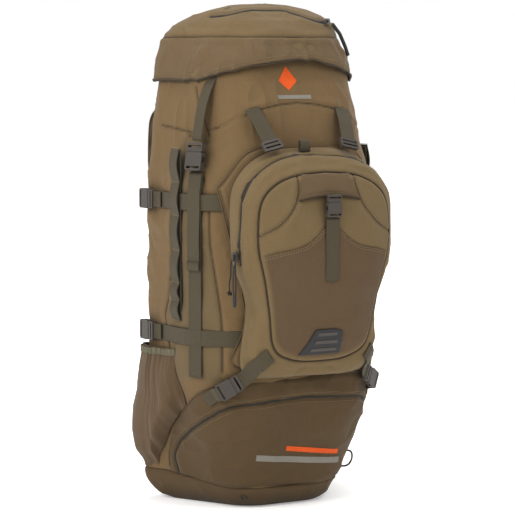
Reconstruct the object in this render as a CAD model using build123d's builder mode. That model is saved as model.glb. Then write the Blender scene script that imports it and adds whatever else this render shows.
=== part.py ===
from build123d import *
from math import cos, pi, radians, sin, tan
import os

os.makedirs("parts", exist_ok=True)

# Hunting backpack, millimetres. Origin on the floor under the middle of the bag,
# +Z up, -Y the front with the daypack, +Y the wearer's back, -X the wearer's left.

# ---- driving dimensions ----
BAG_W = 334.0  # bag across the body
BAG_D = 235.0  # bag from front cloth to back cloth
BAG_H = 787.0  # top of the closed lid
FRONT_R = 95.0  # plan radius of the front corners
BACK_R = 45.0  # plan radius of the back corners
WALL = 3.0  # cloth with its foam lining
WEB = 25.0  # main webbing width
WEB_T = 2.0  # main webbing thickness
LAY = 0.4  # gap between a strap and the cloth under it
GAP = 0.5  # running gap between pieces that move apart
BOOT_SWELL = 2.0  # how far the bottom compartment stands out from the bag

FRONT_Y = -BAG_D / 2
BACK_Y = BAG_D / 2
SIDE_X = BAG_W / 2
LEFT = -1
RIGHT = 1
SIDES = {"left": LEFT, "right": RIGHT}

# ---- cross sections: height, front width, back width, front y, back y, front radius, back radius ----
TUB_TOP = 40.0
LID_HEM = 667.0
LID_RIDGE = 735.0
BAG = [
    (0, 137, 290, -58, 94, 58, 20),
    (20, 162, 328, -74, 112, 72, 16),
    (42, 186, 340, -80, BACK_Y, 78, 15),
    (84, 214, 338, -90, BACK_Y, 84, 20),
    (128, 261, 336, -104, BACK_Y, 86, 30),
    (177, 290, BAG_W, -110.5, BACK_Y, 93, BACK_R),
    (217, BAG_W, BAG_W, FRONT_Y, BACK_Y, FRONT_R, BACK_R),
    (500, BAG_W, BAG_W, FRONT_Y, BACK_Y, FRONT_R, BACK_R),
    (545, 298, 330, -114.5, BACK_Y, FRONT_R, BACK_R),
    (580, 264, 322, -107, 115, FRONT_R, BACK_R),
    (617, 258, 314, -98, 110, 94, BACK_R),
    (679, 242, 300, -80, 104, 84, 42),
]
LID = [
    (LID_HEM, 252, 336, -93, 112, 92, 40),
    (LID_RIDGE, 196, 332, -77, 108, 90, 44),
    (762, 164, 300, -58, 98, 74, 60),
    (779, 120, 220, -26, 76, 45, 50),
    (BAG_H, 70, 120, 2, 48, 20, 20),
]
DAYPACK_BACK = FRONT_Y - 5.4
DAYPACK = [
    (217, 150, 236, -152, DAYPACK_BACK, 25, 2),
    (249, 172, 250, -188, DAYPACK_BACK, 52, 2),
    (335, 196, 222, -192, DAYPACK_BACK, 55, 2),
    (392, 262, 268, -196, DAYPACK_BACK, 60, 2),
    (492, 262, 268, -196, DAYPACK_BACK, 60, 2),
    (537, 180, 220, -182, DAYPACK_BACK, 45, 2),
    (563, 80, 110, -152, DAYPACK_BACK, 18, 2),
]

# ---- places ----
CORNER_X = SIDE_X - FRONT_R  # centre of a front corner's arc
CORNER_Y = FRONT_Y + FRONT_R
# where each lid strap comes down: its way out, turned from the front, and the depth of its axis
STRAP_TURN = {LEFT: 67.0, RIGHT: 90.0}
STRAP_AXIS_Y = {LEFT: CORNER_Y, RIGHT: 12.0}
UPPER_STRAP_Z = 483.0
LOWER_STRAP_Z = 275.0
STRAP_BUCKLE_Y = 66.0  # middle of a compression buckle
LID_BUCKLE_Z = 545.0
YOKE_BOTTOM = 562.0
YOKE_TOP = 617.0
YOKE_T = 4.0
PAD_T = 12.0  # padding of the harness


def form(stations, grow=0.0):
    """Solid through plan sections, filleted trapezoids, grown outwards by a wall or a layer."""
    with BuildPart() as body:
        for z, front_w, back_w, front_y, back_y, front_r, back_r in stations:
            front_x = front_w / 2 + grow
            back_x = back_w / 2 + grow
            radii = [front_r + grow] * 2 + [max(back_r + grow, 1.0)] * 2
            with BuildSketch(Plane.XY.offset(z)):
                with BuildLine():
                    FilletPolyline(
                        (-front_x, front_y - grow),
                        (front_x, front_y - grow),
                        (back_x, back_y + grow),
                        (-back_x, back_y + grow),
                        radius=radii,
                        close=True,
                    )
                make_face()
        loft(ruled=True)
    return body.part


def block(low, high):
    """Plain box between two corners."""
    size = [b - a for a, b in zip(low, high)]
    middle = [(a + b) / 2 for a, b in zip(low, high)]
    with BuildPart() as box:
        with Locations(tuple(middle)):
            Box(*size)
    return box.part


def layer(stations, inner, outer, region):
    """Sheet that follows a form, between two distances from it, inside a region."""
    inner_form = form(stations, inner)
    outer_form = form(stations, outer)
    with BuildPart() as sheet:
        add(outer_form)
        add(region, mode=Mode.INTERSECT)
        add(inner_form, mode=Mode.SUBTRACT)
    return sheet.part


def save(piece, name):
    """Labels a finished piece and writes it."""
    piece.part.label = name
    export_step(piece.part, f"parts/{name}.step")


def save_solids(solids, name):
    """Writes one node that is a group of separate solids."""
    with BuildPart() as group:
        add(solids)
    save(group, name)


def strap_normal(side):
    """Outward direction where a lid strap runs down the bag."""
    turn = radians(STRAP_TURN[side])
    return Vector(side * sin(turn), -cos(turn), 0)


def strap_profile_plane(side):
    """Plane through a lid strap's axis: x outwards from the axis, y up."""
    normal = strap_normal(side)
    return Plane(
        origin=(side * CORNER_X, STRAP_AXIS_Y[side], 0),
        x_dir=normal,
        z_dir=normal.cross(Vector(0, 0, 1)),
    )


def ribbon(plane, points, radii, thickness, width):
    """Strap of constant thickness along a filleted path, its width centred on the plane."""
    with BuildPart() as strap:
        with BuildSketch(plane):
            with BuildLine() as path:
                FilletPolyline(*points, radius=radii)
            trace(path.wires(), line_width=thickness)
        extrude(amount=width / 2, both=True)
    return strap.part


# ---- side release buckle, in its own plane: x across, y along the strap to the mouth, z outwards ----
BUCKLE_W = 31.0
BUCKLE_T = 9.0
SOCKET_L = 28.0
PLUG_BAR = 14.0
SHELL_T = 1.8
PRONG_L = 15.0
PRONG_W = 4.0
SLOT_W = 3.4


def buckle_socket(plane, scale=1.0):
    """Socket half: hollow shell with side windows and a webbing slot."""
    width = BUCKLE_W * scale
    thick = BUCKLE_T * scale
    length = SOCKET_L * scale
    wall = SHELL_T * scale
    slot = SLOT_W * scale
    with BuildPart() as socket:
        with BuildSketch(plane):
            with Locations((0, -length / 2)):
                RectangleRounded(width, length, 4 * scale)
        extrude(amount=thick)
        with BuildSketch(plane.offset(wall)):
            with Locations((0, -8 * scale)):
                Rectangle(width - 2 * wall, 17 * scale)
        extrude(amount=thick - 2 * wall, mode=Mode.SUBTRACT)
        with BuildSketch(plane.offset(wall)):
            with Locations((0, -11 * scale)):
                Rectangle(width + 2, 8 * scale)
        extrude(amount=thick - 2 * wall, mode=Mode.SUBTRACT)
        with BuildSketch(plane):
            with Locations((0, slot / 2 + 3 * scale - length)):
                Rectangle(width - 6 * scale, slot)
        extrude(amount=thick, mode=Mode.SUBTRACT)
    return socket.part


def buckle_plug(plane, scale=1.0):
    """Plug half: a webbing frame with two sprung prongs and a guide between them."""
    width = BUCKLE_W * scale
    thick = BUCKLE_T * scale
    bar = PLUG_BAR * scale
    wall = SHELL_T * scale
    prong = PRONG_L * scale
    inset = wall + GAP
    with BuildPart() as plug:
        with BuildSketch(plane.offset(0.5)):
            with Locations((0, bar / 2 + GAP)):
                RectangleRounded(width - 2, bar, 3 * scale)
            with Locations((0, bar / 2 + 2 * scale)):
                Rectangle(width - 6 * scale, SLOT_W * scale, mode=Mode.SUBTRACT)
        extrude(amount=thick - 1)
        with BuildSketch(plane.offset(inset)):
            for across in (-1, 1):
                with Locations((across * (width / 2 - wall - GAP - PRONG_W * scale / 2), 1 - prong / 2)):
                    Rectangle(PRONG_W * scale, prong + 2)
            with Locations((0, 1 - prong / 3)):
                Rectangle(3 * scale, prong * 2 / 3 + 2)
        extrude(amount=thick - 2 * inset)
    return plug.part


# ---- bag body ----
def boot_region(gap):
    """Everything under the arched seam, where the bottom compartment is."""
    with BuildPart() as region:
        with BuildSketch(Plane.YZ.offset(-BAG_W)):
            with BuildLine():
                ThreePointArc(
                    (62 + gap, 37), (2 + 0.7 * gap, 149 + 0.7 * gap), (-128, 216 + gap)
                )
                Polyline((-128, 216 + gap), (-260, 216 + gap), (-260, 37), (62 + gap, 37))
            make_face()
        extrude(amount=2 * BAG_W)
    return region.part


above_tub = block((-300, -300, TUB_TOP), (300, 300, 700))
below_tub = block((-300, -300, -1), (300, 300, TUB_TOP))
bag_outer = form(BAG)
bag_inner = form(BAG, -WALL)
boot_outer = form(BAG, BOOT_SWELL)
boot_inner = form(BAG, BOOT_SWELL - WALL)
under_seam = boot_region(-GAP)
under_seam_lining = boot_region(-GAP - WALL)
at_seam = boot_region(0)
over_seam_lining = boot_region(WALL)
cavity_zone = block((-300, -300, TUB_TOP + WALL), (300, 300, 700))
tub_zone = block((-300, -300, 4), (300, 300, 60))

with BuildPart() as main_cavity:
    add(bag_inner)
    add(cavity_zone, mode=Mode.INTERSECT)
    add(over_seam_lining, mode=Mode.SUBTRACT)

with BuildPart() as main_bag_shell:
    add(bag_outer)
    add(above_tub, mode=Mode.INTERSECT)
    add(at_seam, mode=Mode.SUBTRACT)
    add(main_cavity.part, mode=Mode.SUBTRACT)
save(main_bag_shell, "main_bag_shell")

with BuildPart() as boot_cavity:
    add(boot_inner)
    add(under_seam_lining, mode=Mode.INTERSECT)

with BuildPart() as bottom_compartment:
    add(boot_outer)
    add(above_tub, mode=Mode.INTERSECT)
    add(under_seam, mode=Mode.INTERSECT)
    add(boot_cavity.part, mode=Mode.SUBTRACT)
save(bottom_compartment, "bottom_compartment")

with BuildPart() as tub_cavity:
    add(bag_inner)
    add(tub_zone, mode=Mode.INTERSECT)

with BuildPart() as base_panel:
    add(bag_outer)
    add(below_tub, mode=Mode.INTERSECT)
    add(tub_cavity.part, mode=Mode.SUBTRACT)
save(base_panel, "base_panel")

# ---- frame inside the back wall ----
SHEET_W = 230.0
SHEET_TOP = 537.0
SHEET_BOTTOM = 232.0
SHEET_T = 2.0
STAY_W = 25.0
STAY_T = 3.0
STAY_X = 70.0
sheet_y = BACK_Y - WALL - GAP - SHEET_T

with BuildPart() as frame_sheet:
    with BuildSketch(Plane.XZ.offset(-sheet_y - SHEET_T)):
        with Locations((0, (SHEET_TOP + SHEET_BOTTOM) / 2)):
            RectangleRounded(SHEET_W, SHEET_TOP - SHEET_BOTTOM, 25)
    extrude(amount=SHEET_T)
save(frame_sheet, "frame_sheet")

with BuildPart() as frame_stays:
    for side in SIDES.values():
        with BuildSketch(Plane.XZ.offset(-sheet_y + 0.2)):
            with Locations((side * STAY_X, (SHEET_TOP + SHEET_BOTTOM) / 2)):
                RectangleRounded(STAY_W, SHEET_TOP - SHEET_BOTTOM - 20, 6)
        extrude(amount=STAY_T)
save(frame_stays, "frame_stays")

# ---- side pockets ----
POCKET = [
    (65, 4),
    (92, 20),
    (147, 25),
    (207, 18),
    (249, 10),
]
POCKET_FRONT = -8.0
POCKET_BACK = 108.0
POCKET_WALL = 2.4


def bag_section(z):
    """Section of the bag body at a height, between its stations."""
    for low, high in zip(BAG, BAG[1:]):
        if low[0] <= z <= high[0]:
            share = (z - low[0]) / (high[0] - low[0])
            return [a + share * (b - a) for a, b in zip(low, high)]
    raise ValueError("height outside the bag")


def pocket_form(inset):
    """Bulging form of a pocket: the bag's own section grown by the fullness at each height."""
    stations = []
    for z, fullness in POCKET:
        height, front_w, back_w, front_y, back_y, front_r, back_r = bag_section(z)
        grow = fullness - inset
        stations.append(
            (z, front_w + 2 * grow, back_w + 2 * grow, front_y, back_y, front_r, back_r)
        )
    return form(stations)


pocket_outer = pocket_form(0)
pocket_inner = pocket_form(POCKET_WALL)
pocket_inside = block((-300, POCKET_FRONT + 3, 75), (300, POCKET_BACK - 3, 300))
bag_clear = form(BAG, GAP)
pocket_seam = boot_region(2 * GAP)
pocket_seam_lining = boot_region(2 * GAP + POCKET_WALL)
with BuildPart() as pocket_cavity:
    add(pocket_inner)
    add(pocket_inside, mode=Mode.INTERSECT)
    add(pocket_seam_lining, mode=Mode.SUBTRACT)

BINDING_H = 8.0
binding_outer = pocket_form(-1.8)
binding_inner = pocket_form(-0.2)
pocket_bindings = []
for side_name, side in SIDES.items():
    low_x, high_x = sorted((0, side * 300))
    pocket_zone = block((low_x, POCKET_FRONT, 0), (high_x, POCKET_BACK, 300))
    binding_low = POCKET[-1][0] - BINDING_H
    binding_zone = block((low_x, POCKET_FRONT, binding_low), (high_x, POCKET_BACK, 300))
    with BuildPart() as side_pocket:
        add(pocket_outer)
        add(pocket_zone, mode=Mode.INTERSECT)
        add(bag_clear, mode=Mode.SUBTRACT)
        add(pocket_seam, mode=Mode.SUBTRACT)
        add(pocket_cavity.part, mode=Mode.SUBTRACT)
    save(side_pocket, f"side_pocket_{side_name}")
    with BuildPart() as binding:
        add(binding_outer)
        add(binding_zone, mode=Mode.INTERSECT)
        add(binding_inner, mode=Mode.SUBTRACT)
    pocket_bindings.append(binding.part)
save_solids(pocket_bindings, "pocket_bindings")

# ---- webbing on the bag ----
STRAP_FRONT_Y = -112.0
STRAP_REAR_Y = 46.0
compression_straps = []
for side in SIDES.values():
    for z in (UPPER_STRAP_Z, LOWER_STRAP_Z):
        low = (min(side * 100, side * 300), STRAP_FRONT_Y, z - WEB / 2)
        high = (max(side * 100, side * 300), STRAP_REAR_Y, z + WEB / 2)
        compression_straps.append(layer(BAG, LAY, LAY + WEB_T, block(low, high)))
        low = (min(side * 100, side * 300), STRAP_BUCKLE_Y + 24, z - WEB / 2)
        high = (max(side * 100, side * 300), BACK_Y + 10, z + WEB / 2)
        compression_straps.append(layer(BAG, LAY, LAY + WEB_T, block(low, high)))
save_solids(compression_straps, "compression_straps")

DAISY_LOW = 299.0
DAISY_HIGH = 565.0
DAISY_Y = -4.0
daisy_chains = []
for side in SIDES.values():
    low = (min(side * 100, side * 300), DAISY_Y - WEB, DAISY_LOW)
    high = (max(side * 100, side * 300), DAISY_Y, DAISY_HIGH)
    daisy_chains.append(layer(BAG, 2 * LAY + WEB_T, 2 * LAY + 2 * WEB_T, block(low, high)))
save_solids(daisy_chains, "daisy_chains")

LID_WEB_LOW = {LEFT: 218.0, RIGHT: 258.0}  # the right one ends over its side pocket
LID_TAIL_LOW = 380.0
LEAN_FROM = 498.0  # above this height the strap runs straight to the lid, over the narrowing bag
LEAN = radians(9.7)
lid_strap_anchors = []
for side in SIDES.values():
    face = FRONT_R + 2 * LAY + WEB_T + WEB_T / 2
    web_top = LID_BUCKLE_Z - SOCKET_L / 2 - GAP
    for radius, low, high in ((face, LID_WEB_LOW[side], web_top), (face + WEB_T, LID_TAIL_LOW, web_top - 4)):
        path = [(radius, low), (radius, LEAN_FROM), (radius - (high - LEAN_FROM) * tan(LEAN), high)]
        lid_strap_anchors.append(ribbon(strap_profile_plane(side), path, 60, WEB_T, WEB))
save_solids(lid_strap_anchors, "lid_strap_anchors")

# ---- buckles ----
BUCKLE_STAND = 2 * LAY + WEB_T + 0.8  # a buckle's underside over the cloth


def side_buckle_plane(side, z):
    """Compression buckle on a flat side, its mouth towards the front."""
    normal = Vector(side, 0, 0)
    along = Vector(0, -1, 0)
    return Plane(
        origin=(side * (SIDE_X + BUCKLE_STAND), STRAP_BUCKLE_Y - 2, z),
        x_dir=along.cross(normal),
        z_dir=normal,
    )


def lid_buckle_plane(side):
    """Lid buckle in line with its leaning strap, its mouth upwards."""
    outwards = strap_normal(side)
    along = Vector(0, 0, cos(LEAN)) - outwards * sin(LEAN)
    normal = outwards * cos(LEAN) + Vector(0, 0, sin(LEAN))
    foot_z = LID_BUCKLE_Z - SOCKET_L / 2
    stand = FRONT_R + BUCKLE_STAND + WEB_T - (foot_z - LEAN_FROM) * tan(LEAN)
    foot = Vector(side * CORNER_X, STRAP_AXIS_Y[side], foot_z) + outwards * stand
    return Plane(origin=foot + along * SOCKET_L, x_dir=along.cross(normal), z_dir=normal)


bag_sockets = [
    buckle_socket(side_buckle_plane(side, z))
    for side in SIDES.values()
    for z in (UPPER_STRAP_Z, LOWER_STRAP_Z)
]
bag_sockets += [buckle_socket(lid_buckle_plane(side)) for side in SIDES.values()]

for side_name, side in SIDES.items():
    for level, z in (("upper", UPPER_STRAP_Z), ("lower", LOWER_STRAP_Z)):
        save_solids(buckle_plug(side_buckle_plane(side, z)), f"{level}_plug_{side_name}")

save_solids([buckle_plug(lid_buckle_plane(side)) for side in SIDES.values()], "lid_plugs")

# ---- lid ----
HEM_RISE = 33.0
with BuildPart() as hem_cut:
    with BuildSketch(Plane.XZ.offset(20)):
        with BuildLine():
            ThreePointArc((-146, LID_HEM - 1), (0, LID_HEM + HEM_RISE), (146, LID_HEM - 1))
            Line((146, LID_HEM - 1), (-146, LID_HEM - 1))
        make_face()
    extrude(amount=200)

band_zone = block((-300, -300, LID_HEM), (300, 300, LID_RIDGE - 6))
top_zone = block((-300, -300, LID_RIDGE - 6), (300, 300, BAG_H + 10))

lid_outer = form(LID)
lid_inner = form(LID, -WALL)
lid_room = block((-300, -300, 600), (300, 300, BAG_H - WALL))

with BuildPart() as lid_band:
    add(lid_outer)
    add(band_zone, mode=Mode.INTERSECT)
    add(lid_inner, mode=Mode.SUBTRACT)
    add(hem_cut.part, mode=Mode.SUBTRACT)
save(lid_band, "lid_band")

with BuildPart() as lid_cavity:
    add(lid_inner)
    add(lid_room, mode=Mode.INTERSECT)

with BuildPart() as lid_top:
    add(lid_outer)
    add(top_zone, mode=Mode.INTERSECT)
    add(lid_cavity.part, mode=Mode.SUBTRACT)
save(lid_top, "lid_top")

LID_ZIP_LOW = 755.0
LID_ZIP_HIGH = 763.5
ZIP_T = 2.0
lid_zip_zone = block((-92, -90, LID_ZIP_LOW), (92, -20, LID_ZIP_HIGH))
save_solids(layer(LID, LAY, LAY + ZIP_T, lid_zip_zone), "lid_zip")

# the slider runs round the lid's right front corner, on an arc about this vertical line
LID_ARC_X = 30.6
LID_ARC_Y = 16.0
LID_ARC_R = 82.8
LID_SLIDER_TURN = 34.8
slider_turn = radians(LID_SLIDER_TURN)
slider_out = Vector(sin(slider_turn), -cos(slider_turn), 0)
lid_slider_plane = Plane(
    origin=Vector(LID_ARC_X, LID_ARC_Y, 760.5) + slider_out * LID_ARC_R,
    x_dir=Vector(0, 0, 1).cross(slider_out),
    z_dir=slider_out,
)
with BuildPart() as lid_slider:
    with BuildSketch(lid_slider_plane):
        RectangleRounded(13, 9, 2)
    extrude(amount=4)
    with BuildSketch(lid_slider_plane.offset(4)):
        RectangleRounded(7, 4, 1.5)
    extrude(amount=2)
save(lid_slider, "lid_slider")

pull_plane = Plane(origin=(84, -60.5, 0), x_dir=(0.949, 0.316, 0), z_dir=(0.316, -0.949, 0))
LID_PULL_PATH = [(1, 756), (19, 741), (32, 722), (40, 707)]
save_solids(ribbon(pull_plane, LID_PULL_PATH, 10, 5, 3), "lid_pull")

lid_straps = []
plug_top = LID_BUCKLE_Z + SOCKET_L / 2 + PLUG_BAR + 2
plug_r = FRONT_R + BUCKLE_STAND + WEB_T + BUCKLE_T / 2 - (plug_top - LEAN_FROM) * tan(LEAN)
for side in SIDES.values():
    path = [(70, LID_HEM - GAP), (73, LID_HEM - 12), (plug_r, plug_top)]
    lid_straps.append(ribbon(strap_profile_plane(side), path, 15, WEB_T, WEB))
save_solids(lid_straps, "lid_straps")

# ---- daypack ----
daypack_outer = form(DAYPACK)
daypack_inner = form(DAYPACK, -WALL)
daypack_room = block((-300, -300, 220), (300, DAYPACK_BACK + 50, 558))
daypack_mouth = block((-100, DAYPACK_BACK - 20, 257), (100, DAYPACK_BACK + 20, 517))
with BuildPart() as daypack_cavity:
    add(daypack_inner)
    add(daypack_room, mode=Mode.INTERSECT)
    add(daypack_mouth)

with BuildPart() as daypack_shell:
    add(daypack_outer)
    add(daypack_cavity.part, mode=Mode.SUBTRACT)
save(daypack_shell, "daypack_shell")

WING_IN = 2 * LAY + WEB_T + 0.3
with BuildPart() as wing_region:
    with BuildSketch(Plane.XZ.offset(20)):
        with BuildLine():
            Polyline(
                (-70, 567),
                (-100, 555),
                (-138, 505),
                (-128, 447),
                (-114, 347),
                (-114, 297),
                (-134, 246),
                (-128, 233),
                (128, 233),
                (134, 246),
                (114, 297),
                (114, 347),
                (128, 447),
                (138, 505),
                (100, 555),
                (70, 567),
                close=True,
            )
        make_face()
    extrude(amount=160)

save_solids(layer(BAG, WING_IN, WING_IN + 2, wing_region.part), "daypack_wings")

POCKET_T = 2.4
with BuildPart() as pocket_region:
    with BuildSketch(Plane.XZ.offset(150)):
        with BuildLine():
            FilletPolyline(
                (-82, 253),
                (82, 253),
                (92, 337),
                (116, 417),
                (116, 479),
                (62, 525),
                (-62, 525),
                (-116, 479),
                (-116, 417),
                (-92, 337),
                radius=20,
                close=True,
            )
        make_face()
    extrude(amount=150)

save_solids(layer(DAYPACK, LAY, LAY + POCKET_T, pocket_region.part), "daypack_front")

HOOD_IN = 2 * LAY + POCKET_T
save_solids(layer(DAYPACK, HOOD_IN, HOOD_IN + 2, block((-48, -260, 495), (48, -150, 525))), "daypack_hood")

with BuildPart() as rubber_region:
    with BuildSketch(Plane.XZ.offset(150)):
        with BuildLine():
            Polyline((-42, 255), (29, 255), (29, 285), (17, 290), (-18, 290), close=True)
        make_face()
    extrude(amount=150)

save_solids(layer(DAYPACK, HOOD_IN, HOOD_IN + 2.5, rubber_region.part), "rubber_patch")

FRONT_WEB_Y = -196 - HOOD_IN - 1.2
FRONT_BUCKLE_SCALE = 0.8
FRONT_BUCKLE_Z = 486.0


def front_buckle_plane():
    """Small buckle under the hood, its mouth upwards."""
    return Plane(
        origin=(0, FRONT_WEB_Y, FRONT_BUCKLE_Z), x_dir=(1, 0, 0), z_dir=(0, -1, 0)
    )


save_solids(buckle_socket(front_buckle_plane(), FRONT_BUCKLE_SCALE), "front_socket")

save_solids(buckle_plug(front_buckle_plane(), FRONT_BUCKLE_SCALE), "front_plug")

FRONT_WEB_W = 24.0
FRONT_WEB_LOW = 365.0
front_web_top = FRONT_BUCKLE_Z - SOCKET_L * FRONT_BUCKLE_SCALE - GAP
with BuildPart() as front_strap:
    with BuildSketch(Plane.XZ.offset(-FRONT_WEB_Y)):
        with Locations((0, (FRONT_WEB_LOW + front_web_top) / 2)):
            Rectangle(FRONT_WEB_W, front_web_top - FRONT_WEB_LOW)
    extrude(amount=WEB_T)
save(front_strap, "front_strap")

ZIP_RUN_LOW = 393.0
with BuildPart() as daypack_zip_region:
    with BuildSketch(Plane.XY.offset(ZIP_RUN_LOW)):
        with Locations((0, -148)):
            Rectangle(320, 9)
    extrude(amount=98)

save_solids(layer(DAYPACK, LAY, LAY + ZIP_T, daypack_zip_region.part), "daypack_zip")

SLIDER_Z = 405.0
zip_x = -134.0 - LAY - ZIP_T - 3.5
with BuildPart() as daypack_slider:
    with Locations((zip_x, -148, SLIDER_Z)):
        Box(4, 9, 15)
    with Locations((zip_x - 3, -148, SLIDER_Z - 1)):
        Box(3, 4, 9)
save(daypack_slider, "daypack_slider")

with BuildPart() as daypack_pull:
    with Locations((zip_x - 3, -151, SLIDER_Z - 45)):
        Box(4, 6, 62)
save(daypack_pull, "daypack_pull")

TAB_W = 18.0
with BuildPart() as grab_tab:
    with Locations((-14, -140, 571)):
        Box(TAB_W, 3, 15)
save(grab_tab, "grab_tab")

# ---- straps that hold the daypack ----
TOP_STRAP_X = 75.0
TOP_STRAP_LEAN = 4.0  # the straps spread towards the wings going up
LOCK_REACH = 13.0  # from a strap's low end to the middle of its ladder lock
top_straps = []
ladder_locks = []
for side in SIDES.values():
    web_low = Vector(side * (TOP_STRAP_X - 4), -128, 581)
    web_high = Vector(side * (TOP_STRAP_X + TOP_STRAP_LEAN), -100, 617)
    along = (web_high - web_low).normalized()
    across = along.cross(Vector(0, 1, 0)).normalized()
    web_plane = Plane(origin=(web_low + web_high) / 2, x_dir=across, z_dir=along.cross(across))
    with BuildPart() as top_strap:
        with BuildSketch(web_plane):
            Rectangle(WEB, (web_high - web_low).length)
        extrude(amount=WEB_T / 2, both=True)
    top_straps.append(top_strap.part)
    lock_middle = web_low - along * LOCK_REACH
    lock_plane = Plane(origin=lock_middle, x_dir=across, z_dir=along.cross(across))
    with BuildPart() as ladder_lock:
        with BuildSketch(lock_plane):
            RectangleRounded(32, 17, 3)
            with Locations((0, 3.4), (0, -3.4)):
                Rectangle(26, 3, mode=Mode.SUBTRACT)
        extrude(amount=2.5, both=True)
    ladder_locks.append(ladder_lock.part)
save_solids(top_straps, "top_straps")
save_solids(ladder_locks, "ladder_locks")

LOWER_BUCKLE_TILT = 60.0
LOWER_BUCKLE_TURN = 30.0
LOWER_BUCKLE_Z = 204.0
lower_plugs = []
for side in SIDES.values():
    tilt = radians(LOWER_BUCKLE_TILT)
    turn = radians(LOWER_BUCKLE_TURN)
    normal = Vector(side * sin(turn), -cos(turn), 0)
    inwards = Vector(-side * cos(turn), -sin(turn), 0)
    along = inwards * sin(tilt) + Vector(0, 0, cos(tilt))
    mouth = Vector(side * CORNER_X, CORNER_Y, LOWER_BUCKLE_Z) + normal * (FRONT_R + 3)
    buckle = Plane(origin=mouth, x_dir=along.cross(normal), z_dir=normal)
    bag_sockets.append(buckle_socket(buckle, 0.9))
    lower_plugs.append(buckle_plug(buckle, 0.9))
save_solids(bag_sockets, "bag_sockets")
save_solids(lower_plugs, "lower_plugs")

# ---- bottom zip: an arch inside the compartment's seam ----
BOTTOM_ZIP_PATH = [(34, 52), (36, 78), (12, 110), (-36, 138), (-130, 176)]
BOTTOM_ZIP_W = 9.0
bottom_zip_in = BOOT_SWELL + LAY
bottom_zip_zone = ribbon(Plane.YZ, BOTTOM_ZIP_PATH, 12, BOTTOM_ZIP_W, 600)
save_solids(layer(BAG, bottom_zip_in, bottom_zip_in + ZIP_T, bottom_zip_zone), "bottom_zip")

ZIP_END = Vector(163.5, 28, 88.7)
ZIP_UP = Vector(0, -24, 32).normalized()
slider_plane = Plane(origin=ZIP_END, x_dir=ZIP_UP, z_dir=(1, 0, 0))
with BuildPart() as bottom_slider:
    with BuildSketch(slider_plane):
        RectangleRounded(15, 9, 2)
    extrude(amount=4)
    with BuildSketch(slider_plane.offset(4)):
        with Locations((-12, 0)):
            RectangleRounded(30, 7, 2)
    extrude(amount=3)
save(bottom_slider, "bottom_slider")

# ---- harness ----
with BuildPart() as shoulder_yoke:
    with BuildSketch(Plane.XZ.offset(-BACK_Y - YOKE_T - 0.3)):
        with Locations((0, (YOKE_BOTTOM + YOKE_TOP) / 2)):
            RectangleRounded(250, YOKE_TOP - YOKE_BOTTOM, 12)
    extrude(amount=YOKE_T)
save(shoulder_yoke, "shoulder_yoke")

YOKE_FACE = BACK_Y + 0.3 + YOKE_T
STRAP_IN = 60.0
STRAP_W = 60.0
STRAP_PATH = [
    (YOKE_FACE + 7, 603),
    (148, 625),
    (171, 609),
    (171, 557),
    (160, 447),
    (140, 347),
]
LOWER_WEB_PATH = [(138.6, 339), (131, 289), (120.5, 239)]
LIFTER_PATH = [(108.2, 655), (134, 648), (157, 630)]
for side_name, side in SIDES.items():
    middle = Plane.YZ.offset(side * (STRAP_IN + STRAP_W / 2))
    save_solids(ribbon(middle, STRAP_PATH, 14, PAD_T, STRAP_W), f"shoulder_strap_{side_name}")
    web_middle = Plane.YZ.offset(side * (STRAP_IN + 45))
    lower_web = ribbon(web_middle, LOWER_WEB_PATH, 60, WEB_T, 20)
    load_lifter = ribbon(middle, LIFTER_PATH, 30, WEB_T, 20)
    save_solids([lower_web, load_lifter], f"shoulder_webs_{side_name}")

back_pads = []
for side in SIDES.values():
    with BuildPart() as back_pad:
        with BuildSketch(Plane.XZ.offset(-BACK_Y - 10.3)):
            with Locations((side * 52, 432)):
                RectangleRounded(74, 240, 22)
        extrude(amount=10)
    back_pads.append(back_pad.part)
save_solids(back_pads, "back_pads")

with BuildPart() as lumbar_pad:
    with BuildSketch(Plane.XZ.offset(-BACK_Y - 18.3)):
        with Locations((0, 239)):
            RectangleRounded(176, 118, 24)
    extrude(amount=18)
save(lumbar_pad, "lumbar_pad")

WING_PATH = [(98, 133), (102, 156), (95, 184), (82, 206), (64, 221)]
BELT_LOW = 191.0
BELT_HIGH = 283.0
BELT_WEB = 38.0
belt_middle = (BELT_LOW + BELT_HIGH) / 2
for side_name, side in SIDES.items():
    wing_points = [(side * x, y) for x, y in WING_PATH]
    belt_plane = Plane.XY.offset(belt_middle)
    wing = ribbon(belt_plane, wing_points, 18, PAD_T, BELT_HIGH - BELT_LOW)
    save_solids(wing, f"belt_wing_{side_name}")
    with BuildPart() as belt_web:
        with BuildSketch(Plane.XZ.offset(-231.5)):
            with Locations((side * 54, belt_middle)):
                Rectangle(24, BELT_WEB)
        extrude(amount=3)
    save(belt_web, f"belt_web_{side_name}")

BELT_BUCKLE_SCALE = 1.3


def open_buckle_plane(side, scale, back_y, z, lean):
    """Half of an unfastened buckle on the wearer's middle line, its face towards the wearer."""
    reach = 3.0 if side == RIGHT else PRONG_L * scale + 2
    normal = Vector(0, cos(lean), -sin(lean))
    along = Vector(-1, 0, 0)
    return Plane(origin=(side * reach, back_y, z), x_dir=along.cross(normal), z_dir=normal)


belt_plug_plane = open_buckle_plane(LEFT, BELT_BUCKLE_SCALE, 224.5, belt_middle, 0)
belt_socket_plane = open_buckle_plane(RIGHT, BELT_BUCKLE_SCALE, 224.5, belt_middle, 0)
save_solids(buckle_plug(belt_plug_plane, BELT_BUCKLE_SCALE), "belt_plug")
save_solids(buckle_socket(belt_socket_plane, BELT_BUCKLE_SCALE), "belt_socket")

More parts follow.
